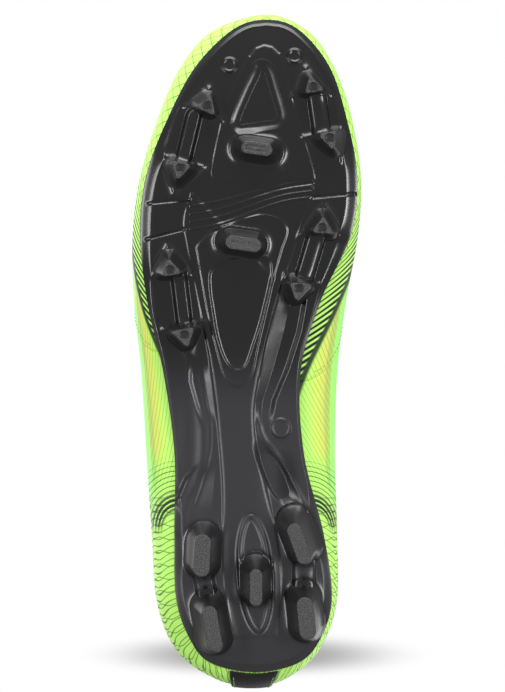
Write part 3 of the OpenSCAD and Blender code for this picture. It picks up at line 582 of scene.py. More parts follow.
# %% The height rule: mm that the mould stands out from the plate (down is positive)
def mould(p, rim):
    """p: plan points of the drawing; rim: mm from the plate's edge. Gives height and gloss."""
    x, y = p[..., 0], p[..., 1]
    fore = ramp(x - 128, 30)
    heel = ramp(76 - x, 16)
    h = np.zeros(x.shape)
    # Polished bevel round the toe and forefoot, fading into the waist; steep at the toe
    toe = smooth((x - 222) / 26)
    band = mix(mix(1.2, 4.4, smooth((x - 150) / 45)) + 2.2 * heel, 2.4, toe)
    inward = np.clip(1 - rim / band, 0, 1)
    steep = np.where(inward < 0.4, inward ** 2 / 0.8, inward - 0.2) / 0.8
    depth_edge = mix(1.8 * mix(inward, smooth(inward), 0.3), 2.2 * steep, toe)
    inner_lip = 0.16 * np.exp(-((rim - band - 0.6) / 0.4) ** 2) * fore
    h += inner_lip - depth_edge
    # Crowned forefoot and hollow flanks of the waist
    h += 0.5 * fore * smooth(rim / 22)
    # The long A of the forefoot, a panel standing out with a sharp lip
    a_in = inside_shape(p, A_PANEL)
    h += 0.32 * ramp(a_in, 1.6) * fore
    for line in (A_LEFT, A_RIGHT):
        h += 0.15 * np.exp(-(near_line(p, line) / 0.45) ** 2)
    # Triangle well with its bevel
    t_in = inside_shape(p, TRIANGLE_ROUND)
    h -= 0.7 * smooth((t_in + 2.8) / 3.0) + 0.2 * ramp(t_in - 1.4, 0.6)
    h += 0.12 * np.exp(-((t_in + 3.0) / 0.45) ** 2)
    # Shield of the ball, and its V-shaped well
    s_in = inside_shape(p, SHIELD)
    h += 0.4 * ramp(s_in, 1.4) + 0.12 * np.exp(-((s_in - 0.6) / 0.4) ** 2)
    w_in = inside_shape(p, SHIELD_WELL)
    h -= 0.7 * ramp(w_in, 1.8) - 0.12 * np.exp(-((w_in + 0.8) / 0.4) ** 2)
    # Spine of the waist
    sp_in = inside_shape(p, SPINE_PANEL)
    h += 0.6 * ramp(sp_in, 2.6) * ramp(150 - x, 30) * ramp(x - 60, 40) + 0.4 * ramp(sp_in,
                                                                                    2.4) * ramp(x - 14, 12)
    for line, tall in ((SPINE_LEFT, 0.14), (SPINE_RIGHT, 0.16), (FLANK_INNER, 0.12)):
        h += tall * np.exp(-(near_line(p, line) / 0.55) ** 2) * ramp(x - 20, 20)
    h += 0.4 * np.exp(-(near_line(p, RIDGE_RIGHT) / 1.2) ** 2) * ramp(112 - x, 10)
    h += 0.5 * np.exp(-(near_line(p, FLANK_LEFT) / 2.6) ** 2)
    # Hollow that falls away to the inner side of the ridge
    h -= 1.1 * np.exp(-(((x - 82) / 16) ** 2 + ((y - 13) / 6) ** 2))
    h -= 0.7 * np.exp(-(((x - 100) / 22) ** 2 + ((y + 26) / 5) ** 2))
    # Flex grooves over the ball
    for line in GROOVES:
        near = near_line(p, line)
        h += 0.2 * np.exp(-(near / 0.42) ** 2) - 0.2 * np.exp(-((near - 1.0) / 0.6) ** 2)
    for line in FLANK_STEPS:
        h -= 0.7 * np.exp(-(near_line(p, line) / 0.6) ** 2)
    # Ribs between studs
    rib_h = np.zeros(x.shape)
    for a, b, wide in RIBS:
        d = span_distance(p, np.array(a, float), np.array(b, float))
        crown = np.sqrt(np.maximum(1 - (d / (wide / 2 + 1.2)) ** 2, 0))
        rib_h = np.maximum(rib_h,
                           mix(2.5 * ramp(wide / 2 + 0.5 - d, 1.9), 2.6 * crown, 0.75 if b[1] > 0 else 0.25))
    h += rib_h
    for centre, r in PADS:
        d = np.hypot(x - centre[0], y - centre[1])
        h += 0.85 * ramp(r - d, 0.7) - 0.3 * ramp(r - 1.0 - d, 0.5)
    # Concave surrounds that sweep up to each stud
    flare = np.zeros(x.shape)
    for base, _, _ in FORE_STUDS:
        flare = np.maximum(flare, np.exp(np.minimum(inside_shape(p, base), 0) / 1.6))
    for k, (centre, half, _, _, turn) in enumerate(LONG_STUDS):
        d = -np.minimum(inside_shape(p, oblong(centre, half, turn)), 0)
        flare = np.maximum(flare, np.exp(-d / 1.7))
    h += 1.25 * flare
    # Leaf round the middle heel stud: two fine steps
    leaf = inside_shape(p, LEAF)
    h += 0.3 * ramp(leaf, 2.0) - 0.5 * np.exp(-(leaf / 0.5) ** 2) - 0.35 * np.exp(-((leaf - 2.4) / 0.45) ** 2)
    # Long polished facets beside the spine
    for line, wide, drop, toward in FACETS:
        line = np.asarray(line, float)
        off = (y - np.interp(x, line[:, 0], line[:, 1])) * toward
        span = smooth((x - line[0, 0]) / 10) * smooth((line[-1, 0] - x) / 10)
        reach = np.interp(x, line[:, 0], wide)
        h -= drop * span * np.clip(off / reach, 0, 1) * ramp(1.6 * reach + 3 - off, 3)
    gloss = np.clip(0.35 + 0.65 * fore, 0, 1)
    gloss = np.maximum(gloss, 0.95 * np.clip(flare * 1.6, 0, 1))
    gloss = np.maximum(gloss, 0.9 * np.exp(-(((x - 84) / 15) ** 2 + ((y - 17) / 6) ** 2)))
    gloss = np.maximum(gloss, 0.9 * np.exp(-(((x - 150) / 24) ** 2 + ((y - 15) / 5) ** 2)))
    gloss = np.maximum(gloss, smooth(1.3 - rim / band) * fore)
    return np.maximum(h, -2.3 + 0.25 * smooth(rim / 4)), gloss


# %% The plate as one grid that follows its outline
ROWS, COLS = ((820, 270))
station = np.linspace(0.0006, 0.9994, 4001)
station_x = place(table_at(PLATE_LOOP, station * SPANS, closed=True))[:, 0]
even = mix(np.linspace(0, 1, ROWS), (1 - np.cos(np.linspace(0, math.pi, ROWS))) / 2, 0.35)
row_u = np.interp(mix(station_x[0], station_x[-1], even), station_x, station)
left_edge = outline(row_u, -1.0, np.zeros(ROWS))
right_edge = outline(row_u, 1.0, np.zeros(ROWS))
col_w = np.linspace(-1, 1, COLS)
col_w = np.sign(col_w) * (1 - (1 - np.abs(col_w)) ** 1.12)
plan = mix(left_edge[:, None], right_edge[:, None], (col_w[None, :, None] + 1) / 2)
drawn = plan / [LONG_K, WIDE_K] + [MID_X, 0]
edge_shape = np.vstack([left_edge[::3], left_edge[-1:], right_edge[::-3], right_edge[:1]])
height, gloss = mould(drawn, np.maximum(inside_shape(plan, edge_shape), 0))
floor_z = sole_z(plan[..., 0])
under = np.concatenate([plan, (floor_z - height)[..., None]], -1)


def plate_ring(inset, lift, mid=False):
    a = outline(row_u, -1.0, np.full(ROWS, inset))
    b = outline(row_u, 1.0, np.full(ROWS, inset))
    p = (a + b) / 2 if mid else None
    rings = [p] if mid else [b, a]
    return [np.concatenate([r, (sole_z(r[:, 0]) + lift)[:, None]], -1)[:, None] for r in rings]


low_b, low_a = plate_ring(0.0, 2.65)
top_b, top_a = plate_ring(0.35, PLATE_T)
middle = plate_ring(0.0, PLATE_T, mid=True)[0]
cross = np.concatenate([under, low_b, top_b, middle, top_a, low_a], 1)
gloss_all = np.concatenate([gloss, np.ones((ROWS, 5))], 1)
faces = grid_faces(*cross.shape[:2], wrap=True, flip=True)
count = cross.shape[1]
faces += [list(range(count)), [(ROWS - 1) * count + k for k in range(count - 1, -1, -1)]]
make_piece("outsole", cross.reshape(-1, 3), faces, {"gloss": gloss_all}, slot="plate")

# %% [markdown]
# ## Studs
# On this kind of plate the studs are a second, harder shot with a ground, grainy tip. Each
# is a stack of rings from a flared root in the plate to a soft-edged tip, closed by a tip
# face with its round recess.


# %% One stud from its root ring to its tip face
def tri_ring(corners, radius, arc=9, straight=5):
    t = place(corners)
    cross2 = (t[1] - t[0])[0] * (t[2] - t[0])[1] - (t[1] - t[0])[1] * (t[2] - t[0])[0]
    t = t if cross2 > 0 else t[[0, 2, 1]]
    arcs = []
    for i in range(3):
        p = t[i]
        back, ahead = unit(t[i - 1] - p), unit(t[(i + 1) % 3] - p)
        middle = unit(back + ahead)
        centre = p + middle * radius / max(0.2, abs(middle[0] * ahead[1] - middle[1] * ahead[0]))
        start = math.atan2(-back[0], back[1]) + math.pi
        end = math.atan2(-ahead[0], ahead[1])
        turn = (end - start) % (2 * math.pi)
        angle = start + turn * np.linspace(0, 1, arc)
        arcs.append(centre + radius * np.stack([np.cos(angle), np.sin(angle)], -1))
    ring = []
    for i in range(3):
        ring.append(arcs[i])
        a, b = arcs[i][-1], arcs[(i + 1) % 3][0]
        ring.append(a + (b - a) * np.linspace(0, 1, straight + 2)[1:-1, None])
    return np.concatenate(ring)


def long_ring(centre, half, turn, points=72):
    c = place(centre)
    return oblong(c, half, turn, points=points)


def shrink(ring, distance):
    ahead = np.roll(ring, -1, axis=0) - np.roll(ring, 1, axis=0)
    normal = unit(np.stack([-ahead[:, 1], ahead[:, 0]], -1))
    return ring + normal * distance


def stud_piece(name, base, tip, hub, dents, seat_x):
    """base and tip are rings in plan; hub is where the tip face closes."""
    slope = sole_z(seat_x + 0.5) - sole_z(seat_x - 0.5)
    root = sole_z(seat_x) + slope * (base[:, 0] - seat_x)
    tip_height = float(sole_z(seat_x) - FORE_STUD if seat_x > BALL_X else 0)
    rings, marks = [], []

    def add(plan_ring, z, mark):
        rings.append(np.concatenate([plan_ring, np.broadcast_to(z, len(plan_ring))[:, None]], -1))
        marks.append(np.full(len(plan_ring), mark))

    add(base, root + 1.2, 0)
    for t in np.linspace(0, 1, 12):
        # a concave flank: steep by the root, easing out toward the tip
        bend = t ** 0.8
        flank = mix(base, tip, bend)
        flare = shrink(flank, -1.3 * (1 - t) ** 5)
        add(flare, mix(root - 0.2, tip_height + 0.75, t), 0.0)
    for t in np.linspace(0.2, 1, 5):
        angle = t * math.pi / 2
        add(shrink(tip, 0.7 * (1 - math.cos(angle))), tip_height + 0.75 * (1 - math.sin(angle)),
            0.35 + 0.65 * t)
    top_ring = rings[-1][:, :2]
    hub_at = place(hub)
    if dents == "recess":
        spoke = unit(top_ring - hub_at)
        radius, deep = 2.0, 0.8
        circle = hub_at + radius * spoke
        for t in (0.3, 0.6, 0.9):
            add(mix(top_ring, hub_at + (radius + 0.35) * spoke, t), tip_height, 1)
        add(hub_at + (radius + 0.3) * spoke, tip_height - 0.12, 1)
        add(circle + 0.05 * spoke, tip_height + 0.05, 1)
        add(circle - 0.12 * spoke, tip_height + deep - 0.1, 0.3)
        add(circle - 0.4 * spoke, tip_height + deep, 0.3)
        add(hub_at + 0.5 * spoke, tip_height + deep, 0.3)
        rings[-6:] = [np.column_stack([r[:, :2], np.maximum(r[:, 2], 0)]) for r in rings[-6:]]
    else:
        axis = unit(place(hub + np.array(dents[:2])) - hub_at)
        reach = (top_ring - hub_at) @ axis
        core = hub_at + np.clip(reach, -dents[2], dents[2])[:, None] * axis
        for t in np.linspace(0.12, 0.97, 12):
            ring = mix(top_ring, core, t)
            sink = 0.0
            for s in (-1, 1):
                if dents[3]:
                    d = np.linalg.norm(ring - (hub_at + s * dents[3] * axis), axis=1)
                    sink = sink + 0.35 * np.exp(-((d - 1.15) / 0.35) ** 2)
            add(ring, tip_height + sink, 1)
    n = len(base)
    points = np.concatenate(rings)
    faces = grid_faces(len(rings), n, wrap=True, flip=True)
    last = (len(rings) - 1) * n
    faces += [[last + k for k in range(n - 1, -1, -1)], list(range(n))]
    piece = make_piece(name, points, faces, {"tip": np.concatenate(marks)}, slot="stud")


for k, (base, tip, hub) in enumerate(FORE_STUDS):
    name = f"stud_{'lateral' if k < 4 else 'medial'}_{k % 4 + 1}"
    seat = float(np.mean(place(base)[:, 0]))
    stud_piece(name, shrink(tri_ring(base, 2.4), -1.0), tri_ring(tip, 1.3), hub, "recess", seat)
LONG_NAMES = ["stud_centre_front", "stud_centre_rear", "heel_stud_lateral_front", "heel_stud_lateral_rear",
              "heel_stud_medial_front", "heel_stud_medial_rear", "heel_stud_centre"]
for k, (name, (centre, half, tip_centre, tip_half, turn)) in enumerate(zip(LONG_NAMES, LONG_STUDS)):
    lean = (math.cos(math.radians(turn)), math.sin(math.radians(turn)), tip_half[0] - tip_half[1],
            3.4 if k < 2 else 0)
    seat = float(place(centre)[0])
    stud_piece(name, long_ring(centre, half, turn), long_ring(tip_centre, tip_half, turn),
               np.array(tip_centre, float),
               lean, seat)

# %% [markdown]
# ## Bottom layers between the plate and the foot
# Under the foot lie a filler of ground cork or foam, a stitched insole board to which the
# upper's margin is cemented, and the loose sockliner that can be lifted out by its heel.


# %% Slabs with a soft edge
def slab_piece(name, layers, body="boot", rows=140, relief=None, **kind):
    u = np.linspace(0.004, 0.996, rows)
    ring = []
    steps = np.linspace(-1, 1, 25)
    top_in, top_z = layers[-1]
    low_in, low_z = layers[0]

    def corner(side, inset, lift):
        p = outline(u, side, np.full(rows, inset))
        return np.concatenate([p, (sole_z(p[:, 0]) + lift)[:, None]], -1)

    def sheet(inset, lift, order, swell):
        a, b = corner(-1.0, inset, lift), corner(1.0, inset, lift)
        for w in order[1:-1]:
            p = mix(a, b, (w + 1) / 2)
            p[:, 2] = sole_z(p[:, 0]) + lift + (relief(u, w) if swell and relief else 0)
            ring.append(p)

    for inset, lift in layers:
        ring.append(corner(1.0, inset, lift))
    sheet(top_in, top_z, steps[::-1], True)
    for inset, lift in reversed(layers):
        ring.append(corner(-1.0, inset, lift))
    sheet(low_in, low_z, steps, False)
    grid = np.stack(ring, 1)
    faces = grid_faces(*grid.shape[:2], wrap=True, flip=True)
    n = grid.shape[1]
    faces += [list(range(n)), [(rows - 1) * n + k for k in range(n - 1, -1, -1)]]
    return make_piece(name, grid.reshape(-1, 3), faces, body=body, **kind)


WALL = FEATHER_INSET + 3.3 + 0.9
slab_piece("bottom_filler", [(13.9, 3.2), (13.6, 3.5), (13.6, 5.9), (13.9, 6.2)], slot="filler")
slab_piece("insole_board", [(WALL + 0.3, 6.45), (WALL, 6.7), (WALL, 7.7), (WALL + 0.3, 7.95)], slot="board")


def footbed(u, w):
    """Shallow cup for the heel and a swell under the arch."""
    return (-0.5 * smooth((0.3 - u) / 0.2) * (1 - w * w) + 0.5 * smooth(1 - abs(u - 0.42) / 0.16) * max(w, 0)
            - 0.25 * smooth((abs(w) - 0.75) / 0.25))


liner = slab_piece("sockliner",
                   [(WALL + 1.6, 8.15), (WALL + 1.2, 8.5), (WALL + 1.2, 10.2), (WALL + 1.5, 10.8),
                                 (WALL + 2.3, 11.05)], body="sockliner", relief=footbed, slot="sockliner")

# %% [markdown]
# ## The upper and what lies inside it
# The real upper is a knitted sleeve printed flat in neon and dark ink, stiffened at toe
# and heel, lined, and pulled over the last. The panels here are the drawing's own, with
# rolled edges. Five numbers go with each point for the print: the way round the sole's
# edge, the climb up the side, the reach (1 at the widest line), the side and the place
# along the shoe.

# %% Depths of the layers and limits of the panels
SHELL, STIFF_FROM, STIFF_TO, LINING_FROM, LINING_TO = 1.3, 1.55, 2.35, 2.6, 3.3
THROAT_U, MARGIN_END, MARGIN_CELLS = 0.577, 2, 0.12


def padding(u, v):
    share, edge = 1 - np.abs(v), 1 - edge_v(u)
    swell = np.sin(math.pi * np.clip((share - edge + 0.19) / 0.21, 0, 1)) * (share > edge - 0.19)
    return 2.8 * smooth((0.42 - np.abs(u)) / 0.08) * swell


def seam_u(v):
    return THROAT_U - np.where(v < 0, 0.095, 0.125) * smooth((np.abs(v) - 0.2) / 0.8)


def across(b, top_v):
    low = mix(MARGIN_END, 1, b / MARGIN_CELLS)
    return np.where(b < MARGIN_CELLS, low, mix(1, top_v, (b - MARGIN_CELLS) / (1 - MARGIN_CELLS)))


def cap_at(a, b):
    v = np.where(b < 0.5, -across(2 * b, 0), across(2 - 2 * b, 0))
    return mix(seam_u(v) + 0.0008, 1, a), v


def quarter_at(side):
    def at(a, b):
        reach_v = np.minimum(across(b, 0.2), 1)
        u = mix(0.0004, seam_u(side * reach_v) - 0.0008, a)
        return u, side * across(b, edge_v(u))
    return at


# %% Print coordinates: tables of the climb and of the way round
TABLE_U = np.linspace(0, 1, 121)
TABLE_SHARE = np.linspace(0, 1, 101)
CLIMB = {}
for side in (-1, 1):
    grid = form(TABLE_U[:, None], side * (1 - TABLE_SHARE[None, :]) + 0 * TABLE_U[:, None])
    steps = np.linalg.norm(np.diff(grid, axis=1), axis=-1)
    CLIMB[side] = np.concatenate([np.zeros((len(TABLE_U), 1)), np.cumsum(steps, 1)], 1)
WAY_STEPS = np.linalg.norm(np.diff(outline(TABLE_U, -1.0, 0 * TABLE_U), axis=0), axis=1)
WAY = np.concatenate([[0], np.cumsum(WAY_STEPS)])


def lookup(table, u, share):
    i = np.clip(u * 120, 0, 119.999)
    j = np.clip(share * 100, 0, 99.999)
    a, b, s, t = i.astype(int), j.astype(int), i % 1, j % 1
    return mix(mix(table[a, b], table[a, b + 1], t), mix(table[a + 1, b], table[a + 1, b + 1], t), s)


def print_fields(u, v):
    u = np.clip(np.abs(u), 0, 1)
    share = 1 - np.abs(v)
    climb = np.where(v < 0, lookup(CLIMB[-1], u, share), lookup(CLIMB[1], u, share))
    widest = np.where(v < 0, lookup(CLIMB[-1], u, 0.35), lookup(CLIMB[1], u, 0.35))
    t = np.clip(share / 0.35, 0, 1)
    plan = 2.1 * t * (1 - t) ** 2 + 3 * t * t * (1 - t) + t ** 3
    reach = plan + np.maximum(climb - widest, 0) / 22
    p = form(u, v)
    return {"way": np.interp(u, TABLE_U, WAY), "climb": climb, "reach": reach,
            "side": np.clip(v * 20, -1, 1), "along": p[..., 0] / LONG_K + MID_X}


# %% Shell, lining and stiffeners
SMALL = 1
panel_piece("vamp", cap_at, constant(0), constant(SHELL), 120 // SMALL, 200, print_fields,
            zipped=True, slot="printed_knit")
panel_piece("vamp_lining", cap_at, constant(LINING_FROM), constant(LINING_TO), 60, 100,
            print_fields, zipped=True, slot="lining")
for side, word in ((-1, "lateral"), (1, "medial")):
    at = quarter_at(side)
    piece = panel_piece(f"quarter_{word}", at, constant(0), constant(SHELL), 200 // SMALL, 100, print_fields,
                        slot="printed_knit")
    piece = panel_piece(f"quarter_lining_{word}", at,
                        lambda a, b, at=at: LINING_FROM + padding(*at(a, b)),
                        lambda a, b, at=at: LINING_TO + padding(*at(a, b)), 90, 100, print_fields,
                        slot="lining")

panel_piece("toe_puff", lambda a, b: (mix(0.87, 1, a), mix(-0.95, 0.95, b)), constant(STIFF_FROM),
            constant(STIFF_TO), 14, 60, zipped=True, slot="stiffener")
panel_piece("heel_counter", lambda a, b: (mix(-0.2, 0.2, a), mix(0.97, 0.62, b)), constant(STIFF_FROM),
            constant(STIFF_TO), 70, 20, slot="stiffener")


def foam_at(a, b):
    u = mix(-0.35, 0.35, a)
    return u, edge_v(u) + mix(0.175, 0.004, b)


foam = panel_piece("collar_foam", foam_at, constant(STIFF_FROM), lambda a,
                   b: STIFF_TO + padding(*foam_at(a, b)),
                   120, 20, slot="foam")

# %% Heel strip: a black band down the middle of the back
panel_piece("heel_strip", lambda a, b: (mix(-0.042, 0.042, a), mix(0.97, edge_v(0 * a) + 0.005, b)),
            constant(-1.05), constant(-0.25), 16, 80, print_fields, roll=0.5, slot="heel_strip")

# %% [markdown]
# ## Lace bands, tongue and lace
# The eyelets are punched through a band that is fused to the upper's edge. The lace runs
# criss-cross from the bottom bar and its ends are tucked in beside the tongue, as they
# are when a boot is photographed for sale.

# %% Lace bands with punched eyelets
BAND_DEPTH, LACE_R, EYELETS, HOLE_R = -1.45, 1.3, 6, 2.3


def eyelet_u(k):
    return mix(0.555, 0.425, k / (EYELETS - 1))


def eyelet_v(k):
    return edge_v(eyelet_u(k)) - 0.055


def band_at(side):
    def at(a, b):
        u = mix(0.4, 0.6, a)
        return u, side * (edge_v(u) + mix(0.08, -0.105, b))
    return at


def punched(piece, holes, radius):
    """Cuts round holes; each is a centre and a direction."""
    cutter_mesh = bpy.data.meshes.new("cutter")
    work = bmesh.new()
    for centre, direction in holes:
        turn = Vector(direction).to_track_quat("Z", "Y").to_matrix().to_4x4()
        bmesh.ops.create_cone(work, cap_ends=True, segments=40, radius1=radius * MM, radius2=radius * MM,
                              depth=0.008,
                              matrix=Matrix.Translation(Vector(centre) * MM) @ turn)
    work.to_mesh(cutter_mesh)
    work.free()
    cutter = bpy.data.objects.new("cutter", cutter_mesh)
    bpy.context.scene.collection.objects.link(cutter)
    cut = piece.modifiers.new("cut", "BOOLEAN")
    cut.object, cut.operation, cut.solver = cutter, "DIFFERENCE", "EXACT"
    bpy.context.view_layer.update()
    done = bpy.data.meshes.new_from_object(piece.evaluated_get(bpy.context.evaluated_depsgraph_get()))
    piece.modifiers.clear()
    piece.data = done
    bpy.data.objects.remove(cutter)


def eyelet_ring(centre, direction, radius=2.55, thick=0.42, around=32, sides=10):
    """Points and faces of a rounded rim."""
    n = unit(np.asarray(direction, float))
    e = unit(np.cross(n, [0.1, 0.9, 0.2]))
    f = np.cross(n, e)
    big = np.linspace(0, 2 * math.pi, around, endpoint=False)[:, None, None]
    small = np.linspace(0, 2 * math.pi, sides, endpoint=False)[None, :, None]
    spoke = np.cos(big) * e + np.sin(big) * f
    points = centre + (radius + thick * np.cos(small)) * spoke + thick * np.sin(small) * n
    faces = []
    for i in range(around):
        for j in range(sides):
            k, m = (i + 1) % around, (j + 1) % sides
            faces.append([i * sides + j, k * sides + j, k * sides + m, i * sides + m])
    return points.reshape(-1, 3), faces


def joined(parts):
    points, faces, start = [], [], 0
    for part_points, part_faces in parts:
        points.append(part_points)
        faces += [[index + start for index in face] for face in part_faces]
        start += len(part_points)
    return np.concatenate(points), faces


for side, word in ((-1, "lateral"), (1, "medial")):
    band = panel_piece(f"eyestay_{word}", band_at(side), constant(BAND_DEPTH), constant(-0.25), 70, 18,
                       print_fields, roll=0.45, slot="lace_band")
    ks = np.arange(EYELETS)
    centres = skin(eyelet_u(ks), side * eyelet_v(ks), 0.0)
    normals = form_normal(eyelet_u(ks), side * eyelet_v(ks))
    punched(band, [(c, n) for c, n in zip(centres, normals)], HOLE_R)
    rims = joined([eyelet_ring(c - BAND_DEPTH * n, n) for c, n in zip(centres, normals)])
    make_piece(f"eyelet_rims_{word}", *rims, slot="eyelet_rim")

# %% Tongue: a knitted face over a padded back
TONGUE_FROM, TONGUE_T, FACE_SHARE = 4.2, 4.0, 0.25


def tongue_at(a, b):
    half = 0.15 + 0.055 * a + 0.1 * smooth((a - 0.73) / 0.27)
    half = half * np.sqrt(1 - 0.8 * np.clip((a - 0.86) / 0.14, 0, 1) ** 3)
    return mix(0.585, 0.36, a), half * (2 * b - 1)


def tongue_swell(a, b):
    """Quilted: soft channels across, and a thinner rim."""
    rim = smooth(np.minimum(np.minimum(b, 1 - b) / 0.1, np.minimum(a, 1 - a) / 0.04))
    return rim * (0.55 + 0.45 * np.abs(np.sin(a * math.pi * 7)))


panel_piece("tongue_face", tongue_at, constant(TONGUE_FROM), constant(TONGUE_FROM + TONGUE_T * FACE_SHARE),
            90, 44, print_fields, body="tongue", slot="tongue_knit")
tongue_back = panel_piece("tongue_padding", tongue_at, constant(TONGUE_FROM + TONGUE_T * FACE_SHARE),
                          lambda a, b: TONGUE_FROM + TONGUE_T - 0.9 * (1 - tongue_swell(a, b)), 120, 44,
                          print_fields, body="tongue", roll=0.5, slot="tongue_lining")

# %% Lace: the drawing's own route, made smooth
LACE_OVER, LACE_UNDER, LACE_CROSS, EDGE_REACH = BAND_DEPTH - LACE_R - 0.15, LACE_R + 0.9, LACE_R + 0.2, 0.117
TUCK_U, TUCK_DEPTH = 0.43, LINING_TO + LACE_R + 1.4


def at_skin(u, v, depth):
    return skin(float(u), float(v), float(depth))


def crossing(k, side):
    u, v, w, x = eyelet_u(k), side * eyelet_v(k), eyelet_u(k + 1), -side * eyelet_v(k + 1)
    last = k == EYELETS - 2
    middle = -LACE_CROSS - 0.4 if (k % 2 == 0) == (side < 0) else LACE_CROSS - 0.4
    points = [at_skin(u, v, LACE_UNDER), at_skin(u, v, BAND_DEPTH / 2), at_skin(u, v, LACE_OVER),
              at_skin(mix(u, w, 0.22), side * (edge_v(u) - EDGE_REACH), LACE_OVER + 0.3),
              at_skin(mix(u, w, 0.5), 0, middle),
              at_skin(mix(u, w, 0.78), -side * (edge_v(w) - EDGE_REACH),
                      LACE_OVER + 0.3 if last else LACE_UNDER - 0.4)]
    if last:
        points += [at_skin(w, x, LACE_OVER), at_skin(w, x, BAND_DEPTH / 2), at_skin(w, x, LACE_UNDER)]
    return points


def half_lace(side):
    return [p for k in range(EYELETS - 1) for p in crossing(k, side * (1 if k % 2 == 0 else -1))]


def tucked(side):
    return [at_skin(TUCK_U, side * 0.25, TUCK_DEPTH - 0.6), at_skin(TUCK_U, side * 0.32, TUCK_DEPTH)]


bar = [at_skin(eyelet_u(0), s * (edge_v(eyelet_u(0)) - EDGE_REACH), LACE_UNDER - 0.2) for s in (-1, 0, 1)]
route = (half_lace(-1) + tucked(1))[::-1] + bar + half_lace(1) + tucked(-1)
tube_piece("lace", resample(route, len(route) * 9), LACE_R, sides=16, slot="lace")
lace_length = float(np.sum(np.linalg.norm(np.diff(route, axis=0), axis=1)))
print("lace", round(lace_length), "mm")
for side, word in ((-1, "lateral"), (1, "medial")):
    start = tucked(side)[1]
    heading = unit(at_skin(TUCK_U, side * 0.5, TUCK_DEPTH + 1) - start)
    spots = np.array([0.6, 0.8, 3.5, 3.8, 4.1, 17.6, 18.3, 18.6])
    width = np.array([1.3, 1.5, 1.5, 1.35, 1.5, 1.5, 1.4, 1.0])
    tip = tube_piece(f"lace_tip_{word}", start + spots[:, None] * heading, width, sides=20, slot="lace_tip")

# %% [markdown]
# ## Collar binding and stitching
# The collar is finished with a thin turned tape, and the bands are sewn down.
# The thread is made stitch by stitch as short bent capsules that dip into the cloth.

# %% Binding along the collar

for side, word in ((-1, "lateral"), (1, "medial")):
    collar = np.linspace(0.003, 0.395, 160)
    swell = padding(collar, side * edge_v(collar)) / 2
    line = skin(collar, side * (edge_v(collar) - 0.003), 1.6 + swell * 0.3)
    tube_piece(f"collar_binding_{word}", line, 1.95, sides=14, flat=0.55, slot="binding")


# %% Rows of stitches
def stitch_row(name, path, pitch, length, radius, lift):
    """path gives points and outward normals; each stitch is a shallow arc."""
    points, normals = path
    run = np.concatenate([[0], np.cumsum(np.linalg.norm(np.diff(points, axis=0), axis=1))])
    parts = []
    for centre in np.arange(pitch / 2, run[-1], pitch):
        s = centre + length * np.linspace(-0.5, 0.5, 7)
        p = np.stack([np.interp(s, run, points[:, k]) for k in range(3)], -1)
        n = unit(np.stack([np.interp(s, run, normals[:, k]) for k in range(3)], -1))
        arch = lift * (1 - np.linspace(-1, 1, 7) ** 2 * 1.4)
        p = p + n * arch[:, None]
        along = unit(np.gradient(p, axis=0))
        other = np.cross(along, n)
        angle = np.linspace(0, 2 * math.pi, 6, endpoint=False)[None, :, None]
        width = radius * np.sqrt(np.maximum(1 - (np.linspace(-1, 1, 7) * 0.93) ** 2, 0.05))[:, None, None]
        ring = p[:, None] + width * (np.cos(angle) * n[:, None] + np.sin(angle) * other[:, None])
        faces = grid_faces(7, 6, wrap=True) + [list(range(5, -1, -1)), [36 + k for k in range(6)]]
        parts.append((ring.reshape(-1, 3), faces))
    make_piece(name, *joined(parts), slot="thread")


def on_form(u, v, depth):
    return skin(u, v, depth + 0 * u), form_normal(u, v)


row = np.linspace(0.41, 0.59, 90)
for side, word in ((-1, "lateral"), (1, "medial")):
    stitch_row(f"band_stitches_outer_{word}", on_form(row, side * (edge_v(row) + 0.066), BAND_DEPTH), 2.6,
               1.9, 0.2, 0.2)
    stitch_row(f"band_stitches_inner_{word}", on_form(row, side * (edge_v(row) - 0.095), BAND_DEPTH), 2.6,
               1.9, 0.2, 0.2)
    ring_u = np.linspace(0.012, 0.39, 200)
    stitch_row(f"collar_stitches_{word}", on_form(ring_u, side * (edge_v(ring_u) + 0.03), 0.0), 2.8, 2.0,
               0.19, 0.16)
    climb_v = np.linspace(0.93, float(edge_v(0.0)) + 0.03, 120)
    stitch_row(f"heel_stitches_{word}", on_form(side * -0.037 + 0 * climb_v, climb_v, -1.05), 2.6, 1.9,
               0.2, 0.18)
    seam_share = np.linspace(0.93, 0.24, 120)
    stitch_row(f"seam_stitches_{word}", on_form(seam_u(side * seam_share) + 0.007, side * seam_share, 0.0),
               2.4, 1.8,
               0.17, 0.14)

# %% [markdown]
# ## Materials
# Each is worked out from the mesh's own numbers and a few noise fields, so it looks the
# same on any machine and from any side. `Wire` lets a colour be written as arithmetic.


